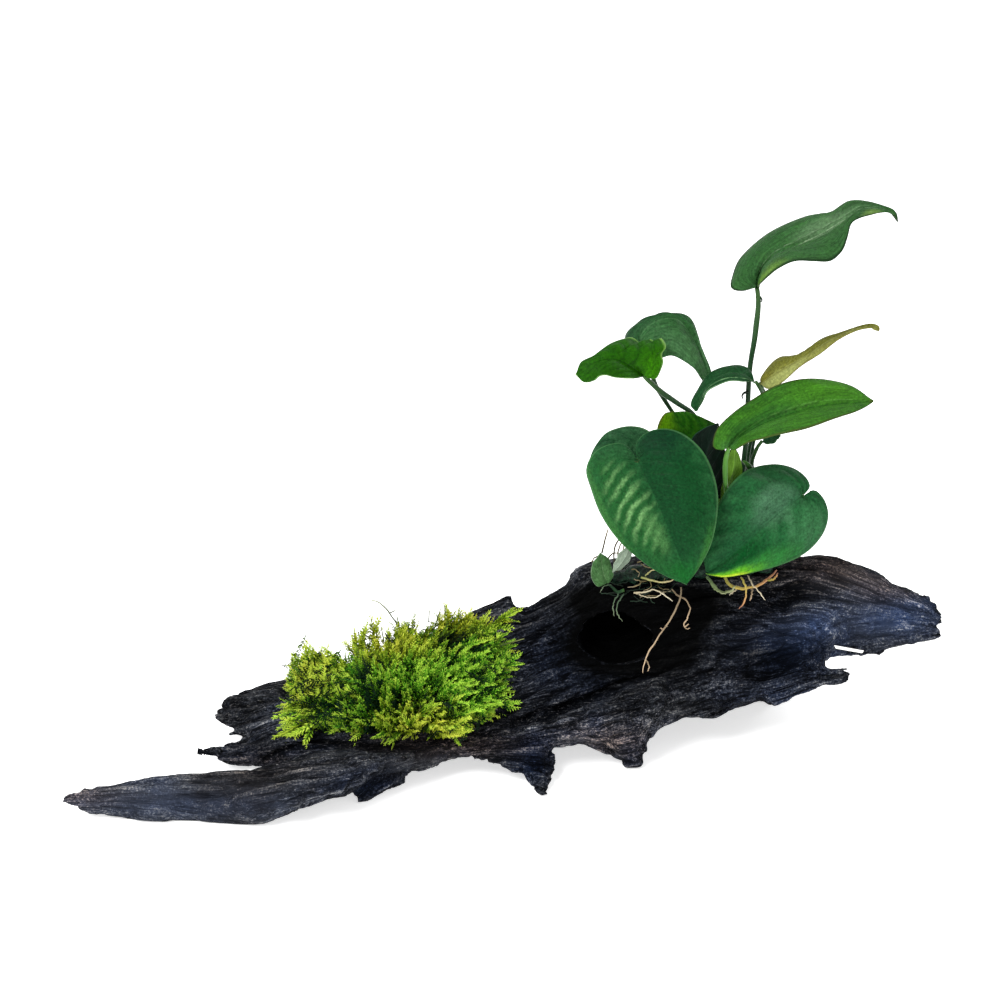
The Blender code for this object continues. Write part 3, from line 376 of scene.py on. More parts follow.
def write_attribute(mesh, name, values):
    values = np.asarray(values, np.float32)
    kind, field = ("FLOAT_VECTOR", "vector") if values.ndim == 2 else ("FLOAT", "value")
    made = mesh.attributes.get(name) or mesh.attributes.new(name, kind, "POINT")
    made.data.foreach_set(field, values.ravel())


def finish_piece(piece, material, slot, *nodes):
    if material:
        piece.data.materials.clear()
        piece.data.materials.append(material)
    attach(piece, "root")
    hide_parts(*nodes)
    print(piece.name, "-", sum(len(face.vertices) - 2 for face in piece.data.polygons), "triangles")


# %% [markdown]
# ## The driftwood
#
# The wood is one grown piece. Its solids are parted at the forks, so copies of them are fattened
# by half a millimetre, joined and remeshed into one skin of small even faces. A gentle smoothing
# takes the flat facets away before the grain goes in.

# %% One skin over all the wood
WOOD_NODES = ["trunk", "front_prong", "middle_prong", "back_prong", "right_end", "right_lower_prong"]
OVERLAP = 0.5
SKIN_STEP = 1.15

copies = []
for name in WOOD_NODES:
    copies.append(put_in_scene("copy_" + name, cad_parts[name].data.copy()))
    with edit_mode(copies[-1]):
        bpy.ops.mesh.remove_doubles(threshold=SEAM * MM)
        if name != "trunk":
            bpy.ops.transform.shrink_fatten(value=OVERLAP * MM)
driftwood = join_all(copies, "driftwood")
driftwood.data.remesh_voxel_size = SKIN_STEP * MM
driftwood.data.use_remesh_preserve_volume = False
bpy.ops.object.voxel_remesh()
apply_modifier(driftwood, "SMOOTH", factor=0.5, iterations=14)
print("wood skin:", len(driftwood.data.vertices), "points")

# %% [markdown]
# ## Grain
#
# Grain runs along the wood and bends with it. Each point of the skin gets a place in the grain:
# how far along it lies, in which lane between the upper and lower outline, and how deep. Noise
# read at these places comes out as long fibres that follow every curve. They go into the real
# surface, because light has to break on them from every side.

# %% Places in the grain
LANES = [
    [(60, 806), (245, 828), (330, 804), (394, 773), (491, 753), (600, 752), (650, 742), (713, 722),
        (779, 707), (850, 684), (950, 645)],
    [(60, 780), (268, 758), (375, 747), (521, 721), (613, 687), (700, 660), (800, 640), (950, 628)],
    [(60, 720), (200, 712), (294, 677), (390, 648), (478, 622), (575, 575), (640, 556), (740, 548),
        (820, 548), (900, 582), (950, 610)],
]
LANE_HEIGHT = 34.0
KNOT = np.array([618.0, 634.0])
KNOT_REACH = (62.0, 46.0)


def lane_of(sheet):
    """0 at the lower outline, 1 at the long split and 2 at the upper outline."""
    heights = [np.interp(sheet[:, 0], *zip(*line)) for line in LANES]
    low = (heights[0] - sheet[:, 1]) / (heights[0] - heights[1])
    high = (heights[1] - sheet[:, 1]) / (heights[1] - heights[2])
    return np.where(low < 1.0, low, 1.0 + np.maximum(high, 0.0))


def field(points, along, beside, octaves=3, seed=0.0):
    """Soft noise of about -1 to 1, stretched along the grain."""
    scaled = points / np.array([along, beside, beside]) + seed
    return np.array([noise.fractal(tuple(place), 1.0, 2.0, octaves) for place in scaled])


points = coordinates(driftwood.data)
sheet = on_sheet(points)
knot_lane = lane_of(KNOT[None])[0]
lane = knot_lane + (lane_of(sheet) - knot_lane) * (1.0 - 0.55 * spot(sheet, KNOT, KNOT_REACH))
grain = np.stack([points[:, 0], lane * LANE_HEIGHT, points[:, 1]], 1)
grain[:, 1] += 5.0 * field(grain, 90.0, 30.0, 2, seed=7.1)
grain[:, 2] += 3.0 * field(grain, 70.0, 30.0, 2, seed=3.3)
print("lanes from", lane.min().round(2), "to", lane.max().round(2))

# %% [markdown]
# Splits and hollows that can be seen one by one are drawn as strokes on the front view: a line, a
# half width in steps and a depth in millimetres. A stroke presses in only what faces the viewer.

# %% Splits, grooves and fibres
STROKES = [
    ([(505, 727), (521, 721), (567, 707), (613, 687), (659, 672), (690, 662)], 3.0, 3.2),
    ([(268, 760), (294, 748), (320, 745), (349, 746), (380, 748), (430, 742)], 5.0, 3.5),
    ([(306, 757), (325, 758), (345, 763), (365, 765)], 2.0, 2.0),
    ([(710, 672), (722, 658), (735, 646), (748, 640)], 3.5, 3.0),
    ([(785, 606), (792, 594), (806, 589), (818, 594)], 6.0, 3.0),
    ([(755, 615), (768, 606), (782, 603)], 4.0, 2.5),
    ([(800, 634), (830, 628), (860, 620), (893, 612)], 2.0, 1.6),
    ([(700, 640), (730, 628), (756, 622), (790, 634), (820, 642)], 2.5, 2.0),
    ([(745, 690), (770, 672), (800, 658), (826, 652)], 3.5, 2.2),
    ([(524, 612), (548, 600), (566, 590)], 2.0, 1.6),
    ([(530, 640), (548, 622), (566, 612)], 2.5, 2.0),
    ([(140, 800), (190, 796), (250, 799), (300, 790)], 2.5, 1.2),
    ([(230, 812), (280, 803), (330, 788), (390, 768)], 2.5, 1.4),
    ([(225, 708), (250, 700), (290, 694)], 2.2, 1.8),
    ([(222, 718), (250, 712), (285, 708)], 2.0, 1.6),
    ([(232, 745), (262, 738), (290, 733)], 2.5, 1.8),
    ([(430, 735), (480, 722), (520, 706), (560, 692), (600, 672)], 2.2, 1.6),
    ([(540, 735), (580, 722), (615, 712), (650, 706)], 2.0, 1.2),
    ([(600, 700), (640, 690), (672, 690)], 2.0, 1.2),
    ([(850, 560), (880, 582), (910, 598), (938, 610)], 1.8, 1.0),
    ([(830, 572), (860, 590), (895, 604), (935, 616)], 1.8, 1.2),
]


def stroke_depth(sheet, strokes):
    depth = np.zeros(len(sheet))
    for line, half_width, deep in strokes:
        line = np.array(line, float)
        nearest = np.full(len(sheet), 1e9)
        taper = np.zeros(len(sheet))
        for index, (start, end) in enumerate(zip(line, line[1:])):
            along = end - start
            share = np.clip((sheet - start) @ along / (along @ along), 0.0, 1.0)
            distance = np.linalg.norm(sheet - start - share[:, None] * along, axis=1)
            progress = np.clip((index + share) / (len(line) - 1), 0.06, 0.94)
            taper = np.where(distance < nearest, np.sin(math.pi * progress) ** 0.4, taper)
            nearest = np.minimum(nearest, distance)
        depth += deep * taper * np.exp(-(nearest / half_width) ** 2)
    return depth


normals = read_vectors(driftwood.data.vertex_normals, "vector")
facing = np.clip((normals @ TOWARD) * 2.0, 0.0, 1.0)
ragged = sheet + np.stack([3.0 * field(points, 9.0, 9.0, 2, seed) for seed in (1.7, 4.9)], 1)
cuts = stroke_depth(ragged, STROKES) * facing
gouge = np.clip(0.25 - np.abs(field(grain, 70.0, 13.0, seed=11.0)), 0.0, 0.25) * 4.0
ribs = field(grain, 48.0, 4.6, seed=21.0)
fibres = field(grain, 30.0, 1.9, seed=31.0)
cracks = np.clip(0.16 - np.abs(field(grain, 34.0, 3.4, seed=51.0)), 0.0, 0.16) / 0.16
worn = field(points, 22.0, 22.0, 2, seed=41.0)
crumbled = np.clip(field(points, 4.0, 4.0, seed=61.0), 0.0, 1.0) * np.clip(worn + 0.1, 0.0, 1.0)
depth = cuts + 1.9 * gouge + 0.8 * (0.3 - ribs) + 0.5 * fibres * (1.0 + 0.6 * worn) + 0.7 * worn
depth = depth + 0.75 * cracks * (0.6 + worn) + 1.6 * crumbled
moved = points - normals * depth[:, None]
moved[:, 2] = np.where(points[:, 2] < 1.5, points[:, 2], np.maximum(moved[:, 2], 0.0))
set_coordinates(driftwood.data, moved)
write_attribute(driftwood.data, "grain", grain)
# groove holds how far the relief is pressed in; the finish darkens the tone with it as painted shade.
write_attribute(driftwood.data, "groove", cuts / 3.0 + 0.6 * gouge - 0.6 * ribs - 0.5 * fibres + 0.5 * cracks)
print("grain pressed in by up to", depth.max().round(1), "mm")

# %% [markdown]
# ## Charred wood
#
# The wood is almost black, with a blue cast where it is damp and smooth. Where the fibres stand up it
# is grey-brown, partly their dry colour and partly a painted highlight on the crests, and pale flecks
# on the fibre tops are painted glints. Where the relief is pressed in, the tone is darker: painted
# shade in the grooves. Fine streaks follow the same grain places as the relief. The roughness runs
# with them, so that damp streaks catch the light.

# %% Wood finish
NEARLY_BLACK = (0.0015, 0.002, 0.003)
# Grey-brown of the dry fibres, lighter as a painted highlight on the crests, and pale flecks as painted glints.
DRY_FIBRE_AND_HIGHLIGHT = (0.13, 0.125, 0.12)
GLINT_FLECK = (0.3, 0.29, 0.28)
WORN_FACE = (0.040, 0.043, 0.050)
DAMP_TINT = (0.26, 0.5, 1.12)
DUSTY_TINT = (1.0, 0.8, 0.62)
WARM_TINT = (1.5, 1.02, 0.8)

wood = Finish("charred_damp_wood", IOR=1.45, Specular_IOR_Level=0.04)
along_grain = wood.attribute("grain", "Vector")
groove = wood.attribute("groove")
streaks = wood.cloud(1.0, 5.0, 0.65, wood.stretched(along_grain, (0.035, 0.6, 0.6)))
threads = wood.cloud(1.0, 5.0, 0.75, wood.stretched(along_grain, (0.05, 1.9, 1.9)))
grit = wood.cloud(1000.0, 3.0, 0.8)
patches = wood.cloud(24.0, 4.0, 0.65)
crack = wood.rise(streaks, 0.45, 0.3)
# The groove depth darkens the tone: painted shade in the grooves and splits.
height = 0.43 - 0.55 * groove + 1.35 * (streaks - 0.5) + 1.3 * (threads - 0.5) + 2.3 * (grit - 0.5)
tone = wood.ramp(wood.clamped(height), [
    (0.0, NEARLY_BLACK), (0.35, (0.010, 0.0115, 0.0155)), (0.62, (0.036, 0.040, 0.048)),
    (0.85, (0.10, 0.102, 0.108)), (1.0, (0.24, 0.235, 0.225))])
# Grey-brown on the fibre crests: their dry colour and a painted highlight.
tone = wood.mix(0.5 * wood.rise(threads, 0.52, 0.72), tone, DRY_FIBRE_AND_HIGHLIGHT)
tone = wood.mix(0.9 * crack, tone, NEARLY_BLACK)
# Pale flecks on the fibre tops: painted glints.
tone = wood.mix(0.32 * wood.rise(threads + 0.6 * grit, 0.88, 1.04), tone, GLINT_FLECK)
tone = wood.mix(wood.attribute("smooth"), tone, WORN_FACE)
damp = wood.clamped(wood.rise(patches, 0.5, 0.75) * 0.5 + wood.attribute("blue"))
tone = wood.times(tone, DAMP_TINT, 0.85 * damp * (1.0 - 0.65 * wood.rise(height, 0.5, 0.85)))
tone = wood.times(tone, DUSTY_TINT, 0.35 * wood.rise(patches, 0.48, 0.3))
tone = wood.times(tone, WARM_TINT, wood.attribute("warm"))
# The spots' painted light and shade, with a random tone, scale the colour.
tone = wood.times(tone, wood.attribute("bright") * (0.7 + 1.1 * wood.rise(patches, 0.3, 0.7)))
wood.paint(tone, wood.clamped(0.7 - 0.5 * (threads - 0.35) + 0.2 * groove))
wood.bump(0.9 * streaks + threads + 0.25 * grit - 0.8 * crack, 1.0, 0.0011)
print("wood finish ready")

# %% [markdown]
# Where the wood is lighter or darker, smoother, warmer or bluer than usual is written as spots.
# The lighter and darker spots are mostly painted light: painted shade in the cave, the hollows and
# gaps and under the plants and roots, and painted highlights where light falls on the log, the top
# ridge and the right end; the rest of them is the wood's own tone.

# %% Spots of the wood
# Painted light on the wood: negative spots are painted shade in the cave, hollows, gaps and under the plants and
# roots; positive spots are painted highlights on the log, top ridge and right end, with some of the wood's own
# tone.
PAINTED_LIGHT_AND_TONE = [
    ((870, 580), (75, 22), 0.8), ((205, 800), (150, 22), 1.1), ((85, 800), (40, 14), 0.8),
    ((390, 775), (60, 14), 0.35), ((905, 614), (48, 22), 1.4), ((795, 622), (54, 24), 1.05),
    ((252, 744), (24, 12), -0.55), ((610, 722), (90, 10), 0.7), ((245, 700), (40, 24), -0.1),
    ((620, 602), (50, 12), -0.9), ((638, 578), (30, 16), -0.8), ((250, 758), (50, 12), -0.05),
    ((460, 745), (80, 14), 0.3), ((820, 612), (14, 9), 0.9), ((820, 627), (26, 5), 0.9),
    ((715, 634), (24, 7), 0.4), ((720, 680), (16, 9), 0.6), ((640, 742), (30, 16), 0.2),
    ((522, 606), (24, 12), 0.2), ((818, 672), (26, 7), 0.4), ((925, 628), (24, 14), 0.3),
    ((568, 668), (70, 34), -0.35), ((624, 636), (58, 38), -1.6), ((620, 720), (26, 16), -0.35),
    ((690, 670), (40, 20), -0.3), ((692, 622), (34, 20), -0.5), ((770, 662), (46, 24), -0.15),
    ((672, 626), (30, 30), -1.1), ((770, 655), (46, 26), -0.55), ((600, 590), (50, 14), -0.5),
    ((700, 600), (40, 20), -0.7), ((790, 597), (24, 11), -0.7), ((690, 706), (40, 10), -0.6),
    ((400, 748), (60, 8), -0.5), ((535, 765), (24, 20), -0.35), ((640, 765), (30, 12), -0.2),
    ((350, 790), (40, 14), -0.3),
]
BLUE = [
    ((900, 616), (56, 24), 0.85), ((785, 650), (64, 38), 1.0), ((560, 650), (60, 50), 0.4),
    ((370, 785), (50, 16), 0.8), ((530, 765), (26, 20), 0.8), ((760, 700), (60, 12), 0.5),
    ((200, 806), (140, 18), 0.55), ((570, 660), (60, 40), 0.4), ((540, 740), (30, 14), 0.4),
    ((235, 755), (36, 10), 0.5),
]
SMOOTH = [
    ((200, 800), (130, 26), 0.5), ((880, 622), (60, 26), 0.5), ((420, 762), (60, 12), 0.4),
    ((780, 640), (60, 20), 0.25), ((860, 575), (60, 18), 0.25),
]
WARM = [
    ((835, 565), (60, 20), 0.75), ((890, 588), (34, 14), 0.5), ((450, 745), (70, 12), 0.8),
    ((610, 742), (50, 18), 0.6), ((250, 765), (60, 14), 0.4), ((75, 795), (40, 14), 0.5),
]
where = on_sheet(coordinates(driftwood.data))
for name, spots, usual, least, most in (("bright", PAINTED_LIGHT_AND_TONE, 0.9, 0.02, 3.0), ("smooth", SMOOTH, 0.0, 0.0, 0.8),
                                        ("warm", WARM, 0.0, 0.0, 1.0), ("blue", BLUE, 0.0, 0.0, 1.0)):
    write_attribute(driftwood.data, name, np.clip(usual + all_spots(where, spots) * facing, least, most))
driftwood.data.materials.clear()
driftwood.data.materials.append(wood.material)
print("spots written on", len(where), "points")

# %% [markdown]
# One narrow split at the right goes clean through, so that light shows behind it. A cube whose
# corners are laid on the sight lines is cut out of the skin with a Boolean.

# %% The split that light shows through
SPLIT = [[(836, 648.6), (834, 645.2)], [(862, 653.2), (864, 650.6)]]
SPLIT_BACKS = (10.0, 170.0)

bpy.ops.object.select_all(action="DESELECT")
bpy.ops.mesh.primitive_cube_add(size=1.0)
cutter = bpy.context.object
cube = (coordinates(cutter.data) > 0.0).astype(int)
set_coordinates(cutter.data, in_view([(*SPLIT[right][upper], SPLIT_BACKS[back]) for right, back, upper in cube]))
apply_modifier(driftwood, "BOOLEAN", operation="DIFFERENCE", solver="EXACT", object=cutter)
bpy.data.objects.remove(cutter)
only(driftwood)
bpy.ops.object.shade_smooth()
finish_piece(driftwood, None, "driftwood", *WOOD_NODES)

# %% [markdown]
# ## Leaves
#
# An anubias blade is a stiff leathery sheet. A midrib runs from the stalk to the tip, side veins
# leave it and arch forward along the margin, and the surface swells a little between them. Each
# blade is known by three lines of the front view: its midrib, and its left and right margins
# between the stalk and the tip. In a heart-shaped leaf the margins start in its notch, beside the
# stalk. A grid primitive is stretched between the lines, pressed into shape along its own normals
# and given its thickness by a Solidify modifier. Moving the grid's points in code is the one
# step that hand tools can't do as exactly.

# %% Lines of the blades
LINES = {
    "top": dict(middle=[(757, 288, 84), (764, 268, 83), (778, 254, 82), (798, 245, 82), (820, 234, 83),
        (845, 219, 84), (862, 208, 86), (884, 209, 86), (893, 213, 86), (897, 222, 86)],
        left=[(743, 291, 78), (731, 288, 80), (733, 275, 88), (742, 256, 96), (768, 232, 102),
        (805, 217, 102), (828, 213, 100), (848, 200, 96), (868, 201, 92), (884, 206, 88), (892, 209, 87),
        (896, 214, 86)],
        right=[(761, 283, 74), (768, 275, 67), (778, 267, 63), (794, 261, 62), (812, 261, 61), (830, 260, 62),
        (841, 251, 66), (847, 238, 70), (853, 222, 76), (872, 214, 80), (885, 212, 84), (891, 214, 86),
        (894, 218, 86)]),
    "back_left": dict(middle=[(650, 352, 103), (640, 338, 103), (652, 323, 104), (675, 318, 104),
        (691, 334, 102), (702, 358, 98), (708, 376, 95), (708, 388, 94)],
        left=[(628, 342, 108), (627, 333, 112), (642, 321, 114), (668, 313, 112), (690, 318, 108),
        (702, 346, 102), (711, 372, 97)],
        right=[(654, 360, 99), (662, 358, 96), (672, 356, 94), (684, 361, 92), (694, 369, 91),
        (701, 378, 92)]),
    "front_left": dict(middle=[(644, 376, 82), (630, 366, 79), (614, 359, 77), (598, 361, 75), (584, 368, 74),
        (576, 373, 74)],
        left=[(633, 379, 74), (617, 377, 70), (602, 376, 69), (592, 381, 70), (583, 382, 72)],
        right=[(655, 379, 80), (660, 373, 82), (664, 362, 85), (662, 354, 87), (666, 347, 89), (661, 339, 92),
        (656, 343, 91), (650, 339, 92), (643, 344, 91), (636, 338, 91), (628, 337, 90), (612, 344, 86),
        (595, 354, 81), (581, 361, 77)]),
    "small_arched": dict(middle=[(756, 382, 86), (745, 374, 85), (730, 372, 84), (714, 379, 83),
        (702, 393, 82), (696, 411, 82)],
        left=[(750, 370, 90), (736, 365, 92), (720, 367, 91), (706, 377, 89), (695, 392, 86), (691, 405, 84)],
        right=[(746, 381, 80), (732, 381, 78), (718, 384, 77), (708, 391, 77), (702, 402, 79)]),
    "young_olive": dict(middle=[(760, 383, 98), (772, 374, 98), (788, 365, 97), (806, 355, 97),
        (832, 338, 98), (856, 328, 99), (873, 326, 99), (878, 331, 98)],
        left=[(760, 377, 102), (769, 366, 106), (781, 357, 107), (798, 354, 106), (820, 340, 104),
        (843, 331, 102), (861, 325, 101), (873, 324, 100), (879, 327, 99)],
        right=[(768, 389, 93), (783, 381, 91), (800, 367, 92), (820, 353, 93), (838, 340, 95), (858, 330, 97),
        (871, 328, 98), (874, 330, 98)]),
    "right": dict(middle=[(729, 447, 70), (744, 435, 72), (762, 424, 74), (786, 415, 76), (820, 406, 76),
        (873, 401, 73)],
        left=[(722, 450, 68), (713, 446, 68), (717, 429, 73), (734, 412, 79), (752, 399, 84), (775, 386, 88),
        (803, 379, 91), (828, 379, 90), (852, 386, 84)],
        right=[(734, 450, 64), (748, 441, 60), (764, 438, 57), (782, 434, 55), (803, 428, 55), (828, 421, 58),
        (850, 413, 64), (866, 406, 70)]),
    "heart_front": dict(middle=[(637, 461, 68), (647, 481, 64), (658, 505, 60), (672, 539, 55),
        (683, 568, 52), (687, 584, 50)],
        notch=[(635, 457, 69), (637, 456, 69)],
        left=[(630, 448, 71), (620, 443, 72), (604, 446, 72), (592, 455, 71), (586, 470, 69), (590, 487, 67),
        (601, 515, 63), (621, 543, 58), (648, 566, 54), (672, 579, 51)],
        right=[(636, 444, 71), (644, 434, 73), (657, 429, 73), (674, 430, 72), (691, 439, 70), (706, 456, 67),
        (716, 482, 63), (718, 508, 59), (712, 542, 54), (699, 568, 51)]),
    "heart_right": dict(middle=[(802, 497, 82), (788, 507, 78), (770, 522, 73), (748, 542, 67),
        (726, 560, 63), (706, 573, 61)],
        notch=[(806, 495, 83), (804, 493, 83)],
        left=[(810, 491, 84), (817, 491, 85), (825, 501, 85), (828, 517, 83), (822, 536, 79), (806, 553, 74),
        (780, 565, 69), (752, 573, 64), (728, 577, 61), (714, 576, 60)],
        right=[(810, 487, 85), (806, 477, 87), (794, 468, 88), (776, 464, 87), (755, 467, 84), (740, 475, 77),
        (724, 494, 71), (711, 520, 67), (703, 548, 63)]),
    "behind_left": dict(middle=[(646, 470, 86), (634, 458, 86), (618, 452, 86), (602, 456, 86),
        (590, 474, 86)],
        left=[(656, 452, 86), (650, 432, 87), (630, 426, 88), (609, 431, 88), (597, 443, 88), (590, 458, 87)],
        right=[(638, 482, 85), (622, 486, 85), (606, 486, 85)]),
    "centre_back": dict(middle=[(700, 468, 93), (694, 448, 93), (686, 430, 92), (674, 412, 91)],
        left=[(678, 462, 92), (660, 446, 91), (657, 430, 90), (664, 414, 90)],
        right=[(716, 452, 95), (721, 430, 96), (706, 419, 94), (688, 412, 92)]),
    "centre_dark": dict(middle=[(712, 504, 84), (708, 478, 83), (706, 452, 83), (718, 424, 84)],
        left=[(698, 488, 83), (690, 462, 82), (692, 438, 82), (704, 428, 83)],
        right=[(727, 494, 87), (731, 472, 88), (724, 446, 87)]),
    "young_upright": dict(middle=[(719, 500, 80), (726, 486, 80), (732, 468, 80), (734, 446, 81)],
        left=[(722, 486, 79), (725, 470, 78), (727, 456, 79)],
        right=[(731, 487, 82), (741, 476, 83), (741, 460, 83)]),
    "under_right": dict(middle=[(762, 441, 97), (768, 440, 97), (774, 438, 98), (780, 436, 98)],
        left=[(766, 434, 100), (774, 432, 101)],
        right=[(767, 444, 95), (775, 442, 95)]),
    "oval": dict(middle=[(608, 584, 84), (604, 574, 83), (602, 563, 83), (601, 553, 84)],
        left=[(597, 586, 83), (591, 576, 82), (593, 563, 82)],
        right=[(613, 578, 85), (612, 567, 85), (608, 558, 85)]),
    "folded": dict(middle=[(612, 571, 82), (619, 564, 81), (625, 555, 80), (629, 545, 80)],
        left=[(615, 561, 80), (621, 551, 79)],
        right=[(622, 568, 83), (629, 560, 83), (632, 552, 82)]),
}

# %% A blade from its three lines
BLADE_ROWS = 60
BLADE_HALF = 12
BLADE_THICKNESS = 0.55
BLADE_SEAM = 0.08
MIDRIB_STEPS = 240


def blade_grid(lines, lobe):
    """Rows of points over a blade; the rows of a lobe fan out from where the stalk joins."""
    ends = lines["middle"]
    starts = lines.get("notch", [ends[0], ends[0]])
    middle = smooth_line(ends, MIDRIB_STEPS)
    left, right = (smooth_line([start, *lines[side], ends[-1]], BLADE_ROWS + 1)
                   for start, side in zip(starts, ("left", "right")))
    share = np.clip((np.linspace(0.0, 1.0, BLADE_ROWS + 1) - lobe) / (1.0 - lobe), 0.0, 1.0)
    centre = middle[np.round(share * (MIDRIB_STEPS - 1)).astype(int)]
    step = np.linspace(0.0, 1.0, BLADE_HALF + 1)[None, :, None]
    left_half = left[:, None] + (centre - left)[:, None] * step
    right_half = centre[:, None] + (right - centre)[:, None] * step
    sheet_grid = np.concatenate([left_half, right_half[:, 1:]], 1)
    return in_view(sheet_grid.reshape(-1, 3)).reshape(sheet_grid.shape)


def grid_normals(grid):
    """The blade's upper side at every point, evened out over its neighbours."""
    normal = np.cross(np.gradient(grid, axis=1), np.gradient(grid, axis=0))
    for _ in range(6):
        wide = np.pad(normal, ((1, 1), (1, 1), (0, 0)), mode="edge")
        normal = (2 * normal + wide[:-2, 1:-1] + wide[2:, 1:-1] + wide[1:-1, :-2] + wide[1:-1, 2:]) / 6
    return unit(normal)


def blade_relief(grid, look):
    """Millimetres by which each point of a blade stands off its plane."""
    across = np.linspace(-1.0, 1.0, 2 * BLADE_HALF + 1)[None]
    along = np.linspace(0.0, 1.0, BLADE_ROWS + 1)[:, None]
    side = np.abs(across)
    middle = grid[:, BLADE_HALF:BLADE_HALF + 1]
    left_width, right_width = (np.linalg.norm(margin - middle, axis=2) for margin in (grid[:, :1], grid[:, -1:]))
    width = np.where(across < 0.0, left_width, right_width)
    bulge = 2.0 * look["arch"] * width * np.sin(math.pi * side)
    rib = -0.5 * np.exp(-((side * width / 1.3) ** 2)) * (1.0 - 0.7 * along)
    phase = look["veins"] * (along - look["lean"] * side ** 1.3)
    fade = np.clip(side * width / 4.0, 0.0, 1.0) * np.clip((1.0 - side) * width / 3.0, 0.0, 1.0)
    quilt = look["quilt"] * np.cos(math.tau * phase) * fade * np.sin(math.pi * np.clip(along, 0.03, 0.97)) ** 0.5
    ruffle = look["ruffle"] * np.sin(math.tau * 2.7 * along + 2.0 * across) * side ** 4
    return bulge + rib + quilt + ruffle


def model_blade(name, lines, look):
    only(floor)
    bpy.ops.mesh.primitive_grid_add(x_subdivisions=2 * BLADE_HALF, y_subdivisions=BLADE_ROWS, size=1.0)
    blade = bpy.context.object
    blade.name = "blade_" + name
    flat = coordinates(blade.data) * MM
    column = np.round((flat[:, 0] + 0.5) * 2 * BLADE_HALF).astype(int)
    row = np.round((flat[:, 1] + 0.5) * BLADE_ROWS).astype(int)
    grid = blade_grid(lines, look["lobe"])
    normal = grid_normals(grid)
    upside_down = normal[..., 2].mean() < 0.0
    if upside_down:
        normal = -normal
    grid = grid + normal * blade_relief(grid, look)[..., None]
    set_coordinates(blade.data, grid[row, column])
    with edit_mode(blade):
        if upside_down:
            bpy.ops.mesh.flip_normals()
        bpy.ops.mesh.remove_doubles(threshold=BLADE_SEAM * MM)
    for material in leaf_finishes(name, look):
        blade.data.materials.append(material)
    apply_modifier(blade, "SOLIDIFY", thickness=BLADE_THICKNESS * MM, offset=-1.0,
                   material_offset=1, material_offset_rim=0)
    bpy.ops.object.shade_smooth()
    return blade


print("blade tools ready")

# %% [markdown]
# The finish of a leaf reads the blade's own UV map: U runs from margin to margin and V from the
# stalk to the tip. So the veins can be drawn where they grow: dark or pale lines that leave the
# midrib and lean forward. Lit bands on the swells between them are painted highlights. Broad patches
# are partly another green and partly painted sheen and painted shade, and one half beside the midrib
# can be painted darker as shade. A thin pale rim and a fine cell grain make it a living leaf, and the
# underside is a paler, duller green.

# %% Leaf finishes
GRAIN_CONTRAST = 2.0


